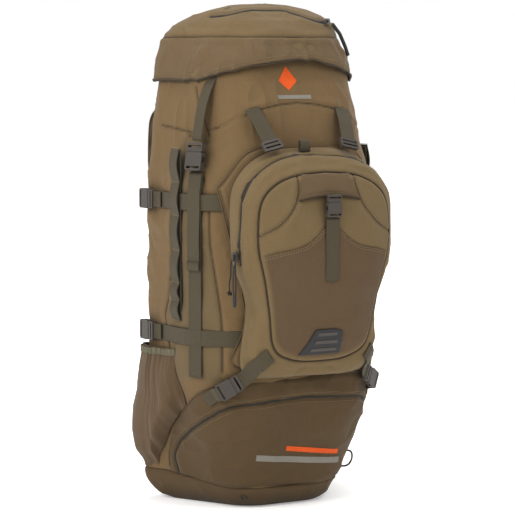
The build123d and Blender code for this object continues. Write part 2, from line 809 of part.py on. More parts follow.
# ---- sternum strap, unfastened, on the straight run of the shoulder straps ----
STERNUM_Z = 500.0
STERNUM_SCALE = 0.65
run_low = Vector(0, *STRAP_PATH[4])
run_high = Vector(0, *STRAP_PATH[3])
run_along = (run_high - run_low).normalized()
run_out = Vector(0, run_along.Z, -run_along.Y)
share = (STERNUM_Z - run_low.Z) / (run_high.Z - run_low.Z)
sternum_point = run_low + (run_high - run_low) * share + run_out * (PAD_T / 2 + 1)
sternum_plane = Plane(origin=sternum_point, x_dir=(1, 0, 0), z_dir=run_out)
for side_name, side in SIDES.items():
    inner_x = 22.5
    outer_x = 92.0
    with BuildPart() as sternum_web:
        with BuildSketch(sternum_plane):
            with Locations((side * (inner_x + outer_x) / 2, 0)):
                Rectangle(outer_x - inner_x, 20)
        extrude(amount=WEB_T)
    save(sternum_web, f"sternum_web_{side_name}")

lean = -run_out.Z
sternum_y = sternum_point.Y - 1
sternum_z = sternum_point.Z
plug_plane = open_buckle_plane(LEFT, STERNUM_SCALE, sternum_y, sternum_z, lean)
socket_plane = open_buckle_plane(RIGHT, STERNUM_SCALE, sternum_y, sternum_z, lean)
save_solids(buckle_plug(plug_plane, STERNUM_SCALE), "sternum_plug")
save_solids(buckle_socket(socket_plane, STERNUM_SCALE), "sternum_socket")

haul_points = [(-54, YOKE_FACE + 2.2), (-44, 140), (44, 140), (54, YOKE_FACE + 2.2)]
save_solids(ribbon(Plane.XY.offset(589), haul_points, 8, 3, WEB), "haul_loop")


# ---- cords ----
def cord(points, diameter):
    """Round cord of straight runs joined by arcs as large as the runs allow."""
    points = [Vector(*point) for point in points]
    radii = []
    for before, here, after in zip(points, points[1:], points[2:]):
        run_in = here - before
        run_out = after - here
        turn = radians(run_in.get_angle(run_out))
        radii.append(0.45 * min(run_in.length, run_out.length) / tan(turn / 2))
    with BuildPart() as tube:
        with BuildLine() as path:
            FilletPolyline(*points, radius=radii)
        with BuildSketch(Plane(origin=path.line @ 0, z_dir=path.line % 0)):
            Circle(diameter / 2)
        sweep()
    length = path.wires()[0].length
    expected = length * pi * diameter**2 / 4
    print("cord radii", [round(radius, 1) for radius in radii], "length", round(length, 1))
    print("cord volume", round(tube.part.volume, 1), "expected", round(expected, 1))
    return tube.part


TOOL_CORD = 3.0
TOOL_LOOP = [
    (117.8, -48.1, 73),
    (123.8, -51.5, 75),
    (128.5, -54.7, 68.5),
    (127.1, -53.1, 56),
    (120.4, -48.6, 47),
    (112.6, -44.0, 48.5),
]
save_solids(cord(TOOL_LOOP, TOOL_CORD), "tool_loop_cord")

PULL_CORD = 2.0
PULL_ROUTE = [
    (-145.8, -147.5, 400),
    (-147, -147, 390),
    (-146, -146, 377),
    (-149, -145, 364),
    (-147.5, -144.5, 353),
]
save_solids(cord(PULL_ROUTE, PULL_CORD), "pull_cord")
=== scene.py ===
import math

import bpy
import numpy as np
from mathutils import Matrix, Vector
from mathutils.bvhtree import BVHTree


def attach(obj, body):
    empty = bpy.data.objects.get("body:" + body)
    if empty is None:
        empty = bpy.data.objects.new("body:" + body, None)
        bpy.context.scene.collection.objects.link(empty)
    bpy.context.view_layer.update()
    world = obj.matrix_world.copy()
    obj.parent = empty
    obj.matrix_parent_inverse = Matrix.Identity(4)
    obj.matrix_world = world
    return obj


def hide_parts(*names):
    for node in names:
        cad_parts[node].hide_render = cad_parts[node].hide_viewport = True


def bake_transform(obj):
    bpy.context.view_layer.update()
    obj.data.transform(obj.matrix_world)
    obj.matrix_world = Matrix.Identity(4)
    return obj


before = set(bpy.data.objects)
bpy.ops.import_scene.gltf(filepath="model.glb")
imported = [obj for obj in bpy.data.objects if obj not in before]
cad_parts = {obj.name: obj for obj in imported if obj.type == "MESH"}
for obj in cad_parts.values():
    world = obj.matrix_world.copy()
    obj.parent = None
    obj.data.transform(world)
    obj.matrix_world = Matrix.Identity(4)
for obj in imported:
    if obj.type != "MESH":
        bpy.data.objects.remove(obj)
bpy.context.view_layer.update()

# Lengths are in millimetres up to the moment a mesh is made. -Y is the front, -X the wearer's left.
MM = 0.001
FRONT_Y = -117.5
BACK_Y = 117.5
SIDE_X = 167.0
FRONT_R = 95.0
CORNER_X = SIDE_X - FRONT_R
CORNER_Y = FRONT_Y + FRONT_R
SIDES = {"left": -1, "right": 1}
# each lid strap's way out, turned from the front, the depth of its axis, and its low end
STRAP_TURN = {-1: math.radians(67), 1: math.radians(90)}
STRAP_AXIS_Y = {-1: CORNER_Y, 1: 12.0}
STRAP_LOW = {-1: 214.0, 1: 256.0}
LEAN_FROM = 498.0
LEAN = math.radians(9.7)
COMPRESSION_HEIGHTS = (483, 275)
BELT_HEIGHT = 237.0
HAUL_HEIGHT = 589
WELL_IN_FRONT = -400

# height, front width, back width, front y, back y, front corner radius, back corner radius
BAG = [
    (0, 137, 290, -58, 94, 58, 20),
    (20, 162, 328, -74, 112, 72, 16),
    (42, 186, 340, -80, BACK_Y, 78, 15),
    (84, 214, 338, -90, BACK_Y, 84, 20),
    (128, 261, 336, -104, BACK_Y, 86, 30),
    (177, 290, 334, -110.5, BACK_Y, 93, 45),
    (217, 334, 334, FRONT_Y, BACK_Y, FRONT_R, 45),
    (500, 334, 334, FRONT_Y, BACK_Y, FRONT_R, 45),
    (545, 298, 330, -114.5, BACK_Y, FRONT_R, 45),
    (580, 264, 330, -107, 117, FRONT_R, 45),
    (617, 258, 330, -98, 115.5, 94, 45),
    (679, 242, 322, -80, 110, 84, 42),
    (710, 222, 290, -71, 100, 78, 40),
]
LID_HEM = 667.0
LID = [
    (LID_HEM, 252, 336, -93, 112, 92, 40),
    (700, 228, 335, -86, 111, 91, 42),
    (735, 196, 332, -77, 108, 90, 44),
    (762, 164, 314, -58, 103, 74, 60),
    (779, 126, 250, -26, 86, 50, 60),
    (786, 74, 140, 2, 54, 24, 24),
]


# ---------------------------------------------------------------- numbers and paths
LATTICE = np.random.default_rng(11).random((32, 32, 32))


def noise(points, size, seed=0.0):
    """Smooth random field from -1 to 1; size is its grain, one number or one along each axis."""
    place = points / np.array(size, float) + seed * 5.37
    cell = np.floor(place).astype(int)
    t = place - cell
    t = t * t * (3 - 2 * t)
    total = np.zeros(points.shape[:-1])
    for corner in np.ndindex(2, 2, 2):
        weight = np.ones(points.shape[:-1])
        for axis in range(3):
            weight = weight * (t[..., axis] if corner[axis] else 1 - t[..., axis])
        index = [(cell[..., axis] + corner[axis]) % 32 for axis in range(3)]
        total += weight * LATTICE[index[0], index[1], index[2]]
    return 2 * total - 1


def ramp(value, low, high):
    """Smooth step from 0 at low to 1 at high."""
    t = np.clip((np.asarray(value, float) - low) / (high - low), 0, 1)
    return t * t * (3 - 2 * t)


def even(points, step):
    """The same line with points a step apart."""
    points = np.asarray(points, float)
    along = np.concatenate([[0], np.cumsum(np.linalg.norm(np.diff(points, axis=0), axis=1))])
    count = max(2, int(round(along[-1] / step)) + 1)
    places = np.linspace(0, along[-1], count)
    return np.stack([np.interp(places, along, column) for column in points.T], axis=1)


def curve_through(points, step=3.0):
    """Smooth line through the points, with points a step apart."""
    points = np.array(points, float)
    padded = np.vstack([2 * points[0] - points[1], points, 2 * points[-1] - points[-2]])
    t = np.linspace(0, 1, 20, endpoint=False)[:, None]
    runs = []
    for a, b, c, d in zip(padded, padded[1:], padded[2:], padded[3:]):
        runs.append(
            0.5 * (2 * b + (c - a) * t + (2 * a - 5 * b + 4 * c - d) * t**2 + (3 * b - a - 3 * c + d) * t**3)
        )
    return even(np.vstack(runs + [points[-1:]]), step)


def nearest_on(points, path):
    """Distance of each point from a line, and how far along the line that is, 0 to 1."""
    flat = points.reshape(-1, 3)
    best = np.full(len(flat), 1e12)
    share = np.zeros(len(flat))
    for i, (a, b) in enumerate(zip(path, path[1:])):
        run = b - a
        t = np.clip(((flat - a) @ run) / (run @ run + 1e-9), 0, 1)
        gap = ((flat - (a + t[:, None] * run)) ** 2).sum(1)
        closer = gap < best
        best[closer] = gap[closer]
        share[closer] = (i + t[closer]) / (len(path) - 1)
    shape = points.shape[:-1]
    return np.sqrt(best).reshape(shape), share.reshape(shape)


def mirrored(points):
    """The same points on the other side of the middle plane."""
    return np.asarray(points, float) * (-1, 1, 1)


def on_hand(side, *lines):
    """Lines drawn for the left side, mirrored if they are for the right."""
    return [mirrored(line) if side > 0 else line for line in lines]


def once(side, node):
    """A node that both sides' pieces stand for: only the left one replaces it."""
    return [node] if side < 0 else []


def unit(vectors):
    """Each vector at length 1."""
    return vectors / np.maximum(np.linalg.norm(vectors, axis=-1, keepdims=True), 1e-9)


def tangents_of(path):
    """Unit direction of a line at each of its points."""
    return unit(np.gradient(path, axis=0))


def resampled(values, count):
    """Rows of values drawn out evenly to a count."""
    old, new = np.linspace(0, 1, len(values)), np.linspace(0, 1, count)
    return np.stack([np.interp(new, old, column) for column in np.asarray(values, float).T], axis=1)


def same(direction, path):
    """One direction for every point of a path."""
    return np.repeat([np.array(direction, float)], len(path), 0)


def front_turn(path, side=1):
    """Way out of an upright strap that runs round the pack, for each point."""
    return unit(np.cross(np.gradient(path, axis=0), (0, 0, 1.0)) * side)


# ---------------------------------------------------------------- plan outlines
COUNTS = {"back": 30, "back corner": 22, "side": 64, "front corner": 68, "front": 70}
BACK_POINTS = COUNTS["back"] + COUNTS["back corner"]
AROUND = 2 * (BACK_POINTS + COUNTS["side"] + COUNTS["front corner"]) + COUNTS["front"]


def ring(section, grow=0.0):
    """Plan outline of one section: from behind the middle, round by the left, front and right."""
    front_w, back_w, front_y, back_y, front_r, back_r = section
    front_x = front_w / 2 + grow
    back_x = back_w / 2 + grow
    front_y = front_y - grow
    back_y = back_y + grow
    corners = [
        (-back_x, back_y, max(back_r + grow, 2), "back corner"),
        (-front_x, front_y, max(front_r + grow, 2), "front corner"),
        (front_x, front_y, max(front_r + grow, 2), "front corner"),
        (back_x, back_y, max(back_r + grow, 2), "back corner"),
    ]
    sides = ["back", "side", "front", "side"]  # each ends at the corner of the same number
    points = []
    last = np.array([0.0, back_y])
    for i, (x, y, radius, kind) in enumerate(corners):
        here = np.array([x, y])
        before = np.array(corners[i - 1][:2]) - here
        after = np.array(corners[(i + 1) % 4][:2]) - here
        before /= np.linalg.norm(before)
        after /= np.linalg.norm(after)
        half = math.acos(np.clip(before @ after, -1, 1)) / 2
        reach = radius / math.tan(half)
        middle = here + (before + after) / np.linalg.norm(before + after) * radius / math.sin(half)
        start = here + before * reach
        count = COUNTS[sides[i]]
        points += [last + (start - last) * k / count for k in range(count)]
        first = math.atan2(*(start - middle)[::-1])
        sweep = math.pi - 2 * half
        for k in range(COUNTS[kind]):
            turn = first + sweep * k / COUNTS[kind]
            points.append(middle + radius * np.array([math.cos(turn), math.sin(turn)]))
        last = here + after * reach
    end = np.array([0.0, back_y])
    points += [last + (end - last) * k / COUNTS["back"] for k in range(COUNTS["back"])]
    return np.array(points)


def lofted(stations, step, soft):
    """Sections a step apart along the side of a form, its bends eased over a soft length."""
    rows = np.array(stations, float)
    run = np.diff(rows, axis=0)
    lengths = np.sqrt(run[:, 0] ** 2 + (run[:, 1] / 2) ** 2 + run[:, 3] ** 2)
    along = np.concatenate([[0], np.cumsum(lengths)])
    fine = np.arange(0, along[-1], 1.0)
    dense = np.stack([np.interp(fine, along, column) for column in rows.T], axis=1)
    if soft:
        reach = int(soft * 3)
        weights = np.exp(-0.5 * (np.arange(-reach, reach + 1) / soft) ** 2)
        weights /= weights.sum()
        padded = np.vstack(
            [2 * dense[0] - dense[reach:0:-1], dense, 2 * dense[-1] - dense[-2 : -reach - 2 : -1]]
        )
        dense = np.stack([np.convolve(column, weights, "valid") for column in padded.T], axis=1)
    picks = np.linspace(0, len(dense) - 1, max(2, int(round(along[-1] / step)) + 1))
    return np.stack([np.interp(picks, np.arange(len(dense)), column) for column in dense.T], axis=1)


def rings(sections, grow=0.0):
    """Grid of points, one row for each section."""
    return np.stack(
        [
            np.column_stack([ring(row[1:], grow), np.full(AROUND, row[0])])
            for row in sections
        ]
    )


# the bag's outline at every millimetre of height, for laying things on it
BAG_SECTIONS = lofted(BAG, 2.5, 7.0)
BAG_TABLE = np.stack(
    [ring([np.interp(z, BAG_SECTIONS[:, 0], BAG_SECTIONS[:, k]) for k in range(1, 7)]) for z in range(0, 710)]
)
LID_SECTIONS = lofted(LID, 2.5, 6.0)
HALF = AROUND // 2


def table_ring(z):
    """Bag outline at any height."""
    z = min(max(z, 0), 708.9)
    low = int(z)
    return BAG_TABLE[low] * (low + 1 - z) + BAG_TABLE[low + 1] * (z - low)


def on_side(y, z, out=0.0):
    """Point on the bag's left side at a depth and a height."""
    outline = table_ring(z)[: HALF - 8]
    x = np.interp(-y, -outline[:, 1], outline[:, 0])
    return np.array([x - out, y, z])


def on_front(x, z, out=0.0):
    """Point on the bag's front at a place across and a height."""
    outline = table_ring(z)[BACK_POINTS : AROUND - BACK_POINTS]
    y = np.interp(x, outline[:, 0], outline[:, 1])
    return np.array([x, y - out, z])


# ---------------------------------------------------------------- materials
def srgb(red, green, blue):
    """Colour as the shader wants it, from its everyday 0 to 255 values."""
    return [((c / 255 + 0.055) / 1.055) ** 2.4 if c > 10 else c / 255 / 12.92 for c in (red, green, blue)] + [1]


class Nodes:
    """Short way to write a material's node tree."""

    def __init__(self, name):
        self.material = bpy.data.materials.new(name)
        self.material.use_nodes = True
        self.tree = self.material.node_tree
        self.shader = self.tree.nodes["Principled BSDF"]
        self.coordinates = self.new("TexCoord")

    def new(self, kind, **settings):
        node = self.tree.nodes.new("ShaderNode" + kind)
        for key, value in settings.items():
            if hasattr(node, key):
                setattr(node, key, value)
            else:
                node.inputs[key].default_value = value
        return node

    def link(self, output, socket):
        self.tree.links.new(output, socket)

    def fed(self, node, *values):
        """The node's first output, once each input has its value or its link."""
        for socket, value in zip(node.inputs, values):
            if hasattr(value, "is_output"):
                self.link(value, socket)
            else:
                socket.default_value = value
        return node.outputs[0]

    def math(self, operation, a, b=0.0):
        return self.fed(self.new("Math", operation=operation), a, b)

    def mix(self, factor, a, b, how="MIX"):
        return self.fed(self.new("MixRGB", blend_type=how), factor, a, b)

    def place(self, source, scale):
        """Coordinates in metres, scaled."""
        node = self.new("Mapping")
        self.link(self.coordinates.outputs[source], node.inputs["Vector"])
        node.inputs["Scale"].default_value = scale
        return node.outputs[0]

    def noise(self, source, scale, detail=3.0, rough=0.55, stretch=(1, 1, 1)):
        node = self.new("TexNoise")
        node.inputs["Scale"].default_value = scale
        node.inputs["Detail"].default_value = detail
        node.inputs["Roughness"].default_value = rough
        self.link(self.place(source, stretch), node.inputs["Vector"])
        return node.outputs["Fac"]

    def painted_corner_shade(self, base):
        """The cloth's colour with painted shade: darker where an ambient occlusion node finds other surfaces near, in
        folds and along straps.
        """
        close = self.new("AmbientOcclusion", samples=6)
        close.inputs["Distance"].default_value = 0.028
        return self.mix(1.0, base, self.span(close.outputs["AO"], 0.42, 1.0), "MULTIPLY")

    def span(self, value, low, high):
        node = self.new("MapRange")
        self.link(value, node.inputs["Value"])
        node.inputs["To Min"].default_value = low
        node.inputs["To Max"].default_value = high
        return node.outputs[0]

    def wave(self, source, period, direction="X"):
        node = self.new("TexWave", wave_type="BANDS", bands_direction=direction)
        node.inputs["Scale"].default_value = math.pi / (10 * period)
        self.link(self.coordinates.outputs[source], node.inputs["Vector"])
        return node.outputs["Fac"]

    def attribute(self, name):
        return self.new("Attribute", attribute_name=name).outputs["Fac"]

    def bump(self, height, strength, distance, normal=None):
        node = self.new("Bump")
        node.inputs["Strength"].default_value = strength
        node.inputs["Distance"].default_value = distance
        self.link(height, node.inputs["Height"])
        if normal is not None:
            self.link(normal, node.inputs["Normal"])
        return node.outputs[0]


def cloth(name, colour, second=None, pitch=0.9, weave=0.35, rough=0.85, sheen=0.05, source="UV", fleck=0.16):
    """Woven cloth: threads both ways, mottling, painted shade at seams and in corners, rubbed edges, and a second
    cloth where the mesh's patch attribute says so."""
    n = Nodes(name)
    across = n.wave(source, pitch * MM, "X")
    up = n.wave(source, pitch * MM, "Y" if source == "UV" else "Z")
    threads = n.math("MULTIPLY", across, up)
    broad = n.span(n.noise("Object", 9, 4), 0.90, 1.10)
    fine = n.span(n.noise("Object", 420, 2, 0.7), 1 - fleck, 1 + fleck)
    slubs = n.span(n.noise("Object", 140, 3, 0.6, (1, 1, 0.12)), 0.95, 1.05)
    base = n.mix(1.0, srgb(*colour), n.math("MULTIPLY", broad, n.math("MULTIPLY", fine, slubs)), "MULTIPLY")
    if second:
        other = n.mix(1.0, srgb(*second), n.math("MULTIPLY", broad, fine), "MULTIPLY")
        base = n.mix(n.attribute("patch"), base, other)
    # painted shade: the seam attribute darkens the cloth in seam grooves and along raised edges
    seams = n.mix(n.attribute("seam"), base, srgb(38, 29, 19))
    geometry = n.new("NewGeometry")
    rubbed = n.span(geometry.outputs["Pointiness"], -0.9, 1.25)
    edges = n.math("MULTIPLY", n.math("MAXIMUM", rubbed, 0.0), n.span(n.noise("Object", 60), 0.1, 0.75))
    seam_shade_and_wear = n.mix(n.math("MULTIPLY", edges, 0.22), seams, srgb(*[min(255, c * 1.35) for c in colour]))
    # painted shade in folds and along straps, from the ambient occlusion node
    n.link(n.painted_corner_shade(seam_shade_and_wear), n.shader.inputs["Base Color"])
    n.link(n.span(n.noise("Object", 300, 2), rough - 0.06, rough + 0.06), n.shader.inputs["Roughness"])
    n.shader.inputs["Sheen Weight"].default_value = sheen
    n.shader.inputs["Sheen Roughness"].default_value = 0.5
    n.shader.inputs["Specular IOR Level"].default_value = 0.18
    soft = n.bump(n.noise("Object", 55, 4, 0.6), 0.35, 0.0014)
    n.link(n.bump(threads, weave, 0.0005, soft), n.shader.inputs["Normal"])
    return n.material


def webbing(name, colour, source="UV", pitch=1.6, flat="X"):
    """Woven strap: ribs across it, painted shade at seams and in corners, fuzz and mottling."""
    n = Nodes(name)
    ribs = n.wave(source, pitch * MM, "Y" if source == "UV" else "Z")
    cords = n.wave(source, pitch * 1.4 * MM, flat)
    weave = n.math("MULTIPLY", n.math("ADD", ribs, 0.4), n.math("ADD", cords, 0.6))
    tone = n.math("MULTIPLY", n.span(n.noise("Object", 500, 2, 0.7), 0.82, 1.18), n.span(weave, 0.9, 1.06))
    base = n.mix(1.0, srgb(*colour), tone, "MULTIPLY")
    # painted shade where the mesh's seam attribute says so
    base = n.mix(n.attribute("seam"), base, srgb(44, 36, 25))
    # painted shade in corners, from the ambient occlusion node
    n.link(n.painted_corner_shade(base), n.shader.inputs["Base Color"])
    n.link(n.span(n.noise("Object", 260), 0.66, 0.82), n.shader.inputs["Roughness"])
    n.shader.inputs["Specular IOR Level"].default_value = 0.2
    n.shader.inputs["Sheen Weight"].default_value = 0.04
    n.link(n.bump(weave, 0.55, 0.0006), n.shader.inputs["Normal"])
    return n.material


def moulded(name, colour, rough=0.42, grain=0.25, metal=0.0, rub=1.25):
    """Moulded plastic, rubber or metal: fine grain, edges rubbed lighter, faint scuffs."""
    n = Nodes(name)
    grit = n.noise("Object", 900, 2, 0.6)
    scuffs = n.noise("Object", 70, 5, 0.7, (1, 1, 4))
    tone = n.math("MULTIPLY", n.span(grit, 0.92, 1.08), n.span(scuffs, 0.88, 1.12))
    base = n.mix(1.0, srgb(*colour), tone, "MULTIPLY")
    edge = n.new("NewGeometry").outputs["Pointiness"]
    lift = n.math("MULTIPLY", n.math("MAXIMUM", n.span(edge, -2.4, 2.6), 0.0), 0.5)
    base = n.mix(lift, base, srgb(*[min(255, c * rub + 14) for c in colour]))
    n.link(base, n.shader.inputs["Base Color"])
    n.link(n.span(scuffs, rough - 0.1, rough + 0.12), n.shader.inputs["Roughness"])
    n.shader.inputs["Metallic"].default_value = metal
    n.shader.inputs["Specular IOR Level"].default_value = 0.3
    n.link(n.bump(grit, grain, 0.0003), n.shader.inputs["Normal"])
    return n.material


def meshed(name, colour, pitch=3.2):
    """Spacer mesh of the padding: a net of small holes over foam."""
    n = Nodes(name)
    cells = n.new("TexVoronoi", feature="DISTANCE_TO_EDGE")
    cells.inputs["Scale"].default_value = 1 / (pitch * MM)
    n.link(n.coordinates.outputs["Object"], cells.inputs["Vector"])
    net = n.span(cells.outputs["Distance"], 1.0, 0.0)
    tone = n.math("MULTIPLY", n.span(net, 0.55, 1.1), n.span(n.noise("Object", 500, 2), 0.88, 1.12))
    base = n.mix(1.0, srgb(*colour), tone, "MULTIPLY")
    # painted shade in the pad's seam grooves, from the seam attribute
    n.link(n.mix(n.attribute("seam"), base, srgb(30, 27, 22)), n.shader.inputs["Base Color"])
    n.shader.inputs["Roughness"].default_value = 0.85
    n.shader.inputs["Sheen Weight"].default_value = 0.15
    n.link(n.bump(net, 0.6, 0.001), n.shader.inputs["Normal"])
    return n.material


BROWN = (99, 79, 52)
STRETCH = (81, 64, 45)
STRAP = (66, 59, 44)
M = {
    "bag": cloth("pack_cloth", BROWN, second=(92, 77, 53)),
    "boot": cloth("boot_cloth", (75, 59, 38), second=(73, 59, 41)),
    "lid": cloth("lid_cloth", (98, 81, 55), second=(91, 74, 52)),
    "front": cloth("pocket_cloth", (99, 82, 55), second=STRETCH),
    "stretch": cloth("stretch_cloth", STRETCH, pitch=0.7, weave=0.25, sheen=0.1),
    "lining": cloth("lining_cloth", (84, 78, 64), pitch=0.8, sheen=0.2),
    "harness": cloth("harness_cloth", (92, 76, 53), second=(80, 66, 48), pitch=1.1),
    "mesh": meshed("spacer_mesh", (70, 58, 41)),
    "binding": webbing("binding_tape", (62, 52, 38), pitch=1.2),
    "piping": cloth("piping_cloth", (52, 42, 30), pitch=0.8, source="Object", sheen=0.02),
    "piping light": cloth("piping_cloth_light", (86, 70, 49), pitch=0.8, source="Object", sheen=0.04),
    "web": webbing("strap_webbing", STRAP),
    "web plain": webbing("strap_webbing_object", STRAP, source="Object"),
    "zip": webbing("zip_tape", (50, 41, 30), pitch=1.0),
    "zip light": webbing("zip_tape_light", (70, 57, 41), pitch=1.0),
    "gather": webbing("gathered_tape", (92, 86, 68), pitch=1.4),
    "teeth": moulded("zip_coil", (28, 24, 19), rough=0.6),
    "buckle": moulded("buckle_plastic", (50, 45, 40), rough=0.46),
    "metal": moulded("slider_metal", (48, 44, 39), rough=0.36, metal=0.5),
    "rubber": moulded("patch_rubber", (36, 35, 37), rough=0.62),
    "rib": moulded("patch_ribs", (62, 57, 52), rough=0.55),
    "thread": cloth("thread", (122, 106, 78), pitch=0.5, source="Object"),
    "thread dark": cloth("thread_dark", (84, 72, 50), pitch=0.5, source="Object"),
    "cord": webbing("cord_sheath", (34, 31, 28), source="Object", pitch=1.0),
    "orange": cloth("print_orange", (198, 78, 30), pitch=0.9, source="Object", sheen=0.0, fleck=0.06),
    "grey": cloth("print_grey", (118, 113, 105), pitch=0.9, source="Object", sheen=0.0, fleck=0.06),
    "alloy": moulded("stay_alloy", (176, 178, 180), rough=0.3, metal=1.0),
    "sheet": moulded("sheet_plastic", (40, 40, 42), rough=0.5),
}


# ---------------------------------------------------------------- making pieces
def piece(name, points, faces, material, body, nodes=(), uv=None, values=None, smooth=True):
    """One mesh of the object, on its body, or on none if no body is given."""
    mesh = bpy.data.meshes.new(name)
    mesh.from_pydata((np.asarray(points, float) * MM).tolist(), [], [tuple(int(i) for i in f) for f in faces])
    mesh.validate()
    mesh.polygons.foreach_set("use_smooth", [smooth] * len(mesh.polygons))
    mesh.materials.append(M[material])
    if uv is not None:
        layer = mesh.uv_layers.new(name="UVMap")
        order = np.empty(len(mesh.loops), dtype=np.int64)
        mesh.loops.foreach_get("vertex_index", order)
        layer.data.foreach_set("uv", (np.asarray(uv, float) * MM)[order].ravel())
    for key, data in (values or {}).items():
        layer = mesh.attributes.new(key, "FLOAT", "POINT")
        layer.data.foreach_set("value", np.clip(np.asarray(data, float), 0, 1).ravel())
    thing = bpy.data.objects.new(name, mesh)
    bpy.context.collection.objects.link(thing)
    if body:
        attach(thing, body)
    if nodes:
        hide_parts(*nodes)
    return thing


class Skin:
    """Grid of points on a soft panel. It is pushed in and out along its normals, and keeps how much painted
    shade each point has at seams and edges (seam) and how much of the second cloth it has (patch)."""

    def __init__(self, grid, wraps=False, both=True):
        self.grid = np.asarray(grid, float)
        self.wraps = wraps
        self.both = both
        self.out = np.zeros(self.grid.shape[:2])
        self.seam = np.zeros(self.grid.shape[:2])
        self.patch = np.zeros(self.grid.shape[:2])

    def normals(self):
        grid = self.grid
        if self.wraps:
            across = np.roll(grid, -1, 1) - np.roll(grid, 1, 1)
        else:
            across = np.gradient(grid, axis=1)
        along = np.gradient(grid, axis=0)
        return unit(np.cross(across, along))

    def near(self, path):
        gap, share = nearest_on(self.grid, path)
        if self.both:
            other, other_share = nearest_on(self.grid, mirrored(path))
            share = np.where(other < gap, other_share, share)
            gap = np.minimum(gap, other)
        return gap, share

    def sew(self, path, depth=1.3, width=2.2, puff=0.7, dark=0.75):
        """Seam along a path: a narrow groove with the cloth puffed up beside it, and painted shade in the groove as
        strong as dark.
        """
        gap, _ = self.near(even(path, 7))
        self.out -= depth * np.exp(-((gap / width) ** 2))
        self.out += puff * np.exp(-(((gap - 3.2 * width) / (2.2 * width)) ** 2))
        self.seam = np.maximum(self.seam, dark * np.exp(-((gap / (0.62 * width)) ** 2)))

    def fold(self, path, height, width):
        """Soft ridge, or a furrow if the height is negative, that dies out at its ends."""
        gap, share = self.near(curve_through(path, 6))
        self.out += 1.7 * height * np.exp(-((gap / width) ** 2)) * np.sin(np.pi * np.clip(share, 0, 1)) ** 0.8

    def folds(self, *rows):
        """Several folds, each its path, height and width."""
        for row in rows:
            self.fold(*row)

    def creases(self, size, height, seed, where=1.0):
        field = noise(self.grid, size, seed)
        self.out += 1.35 * height * (1 - 2 * np.sqrt(np.abs(field))) * where

    def mottle(self, size, height, seed, where=1.0):
        self.out += height * noise(self.grid, size, seed) * where

    def points(self):
        return self.grid + self.normals() * self.out[..., None]

    def build(self, name, material, body, nodes=(), caps=(), turn=False):
        grid = self.points()
        rows, columns = grid.shape[:2]
        faces = grid_faces(rows, columns, self.wraps, turn)
        flat = grid.reshape(-1, 3)
        seam = self.seam.ravel()
        patch = self.patch.ravel()
        for row in caps:
            start = (rows - 1) * columns if row else 0
            centre = grid[row].mean(0)
            flat = np.vstack([flat, centre])
            seam = np.append(seam, 0)
            patch = np.append(patch, patch[start])
            for c in range(columns):
                a, b = start + c, start + (c + 1) % columns
                faces.append((a, b, len(flat) - 1) if bool(row) != turn else (b, a, len(flat) - 1))
        across = np.linalg.norm(np.diff(self.grid, axis=1, prepend=self.grid[:, :1]), axis=2).cumsum(1)
        up = np.linalg.norm(np.diff(self.grid, axis=0, prepend=self.grid[:1]), axis=2).cumsum(0)
        middle = across[rows // 2]
        uv = np.stack([np.broadcast_to(middle, (rows, columns)), up], axis=2).reshape(-1, 2)
        uv = np.vstack([uv, np.zeros((len(flat) - len(uv), 2))])
        self.final = flat
        self.faces = faces
        self.tree = BVHTree.FromPolygons(flat.tolist(), faces)
        return piece(name, flat, faces, material, body, nodes, uv, {"seam": seam, "patch": patch})

    def lay(self, path, lift=0.0):
        """Path moved on to the finished cloth, and the way out of the cloth at each point."""
        places = []
        outs = []
        for point in path:
            spot, out, _, _ = self.tree.find_nearest(Vector(point))
            places.append(np.array(spot))
            outs.append(np.array(out))
        outs = np.array(outs)
        for _ in range(3):
            outs[1:-1] = (outs[:-2] + 2 * outs[1:-1] + outs[2:]) / 4
        outs = unit(outs)
        return np.array(places) + outs * lift, outs


def grid_faces(rows, columns, wraps, turn=False):
    faces = []
    for r in range(rows - 1):
        for c in range(columns if wraps else columns - 1):
            d = (c + 1) % columns
            face = (r * columns + c, r * columns + d, (r + 1) * columns + d, (r + 1) * columns + c)
            faces.append(face[::-1] if turn else face)
    return faces


def add_wall(thing, thick):
    """Gives a cloth its thickness, inwards."""
    wall = thing.modifiers.new("wall", "SOLIDIFY")
    wall.thickness = thick * MM
    wall.offset = -1


def seen_from_front(skin, places):
    """Where a cloth is met from the front, at places across and up, and its way out there."""
    hits = [skin.tree.ray_cast(Vector((px, WELL_IN_FRONT, pz)), Vector((0, 1, 0))) for px, pz in places]
    return np.array([hit[0] for hit in hits]), np.array([hit[1] for hit in hits])


def swept(path, outs, profile):
    """Closed tube with a given section along a path: points, faces and weave coordinates."""
    path = np.asarray(path, float)
    outs = np.asarray(outs, float)
    tangents = tangents_of(path)
    across = unit(np.cross(tangents, outs))
    up = np.cross(across, tangents)
    profile = np.asarray(profile, float)
    if profile.ndim == 2:
        profile = np.broadcast_to(profile, (len(path),) + profile.shape)
    grid = path[:, None] + across[:, None] * profile[..., :1] + up[:, None] * profile[..., 1:]
    rows, columns = grid.shape[:2]
    faces = grid_faces(rows, columns, True)
    faces += [tuple(range(columns))[::-1], tuple((rows - 1) * columns + c for c in range(columns))]
    along = np.concatenate([[0], np.cumsum(np.linalg.norm(np.diff(path, axis=0), axis=1))])
    uv = np.stack([profile[..., 0], np.repeat(along[:, None], columns, 1)], axis=2).reshape(-1, 2)
    return grid.reshape(-1, 3), faces, uv


def tape_profile(width, thick):
    """Section of a woven strap: flat, with rounded, slightly thicker edges."""
    w = width / 2
    t = thick
    top = [(w, 0.35 * t), (w - 0.3, 0.85 * t), (w - 1.1, t), (w - 2.2, 0.88 * t), (0.45 * w, 0.93 * t)]
    low = [(-w + 0.3, 0.0), (0, 0.02 * t), (w - 0.3, 0.0)]
    return np.array(top + [(-x, y) for x, y in top[::-1]] + low)


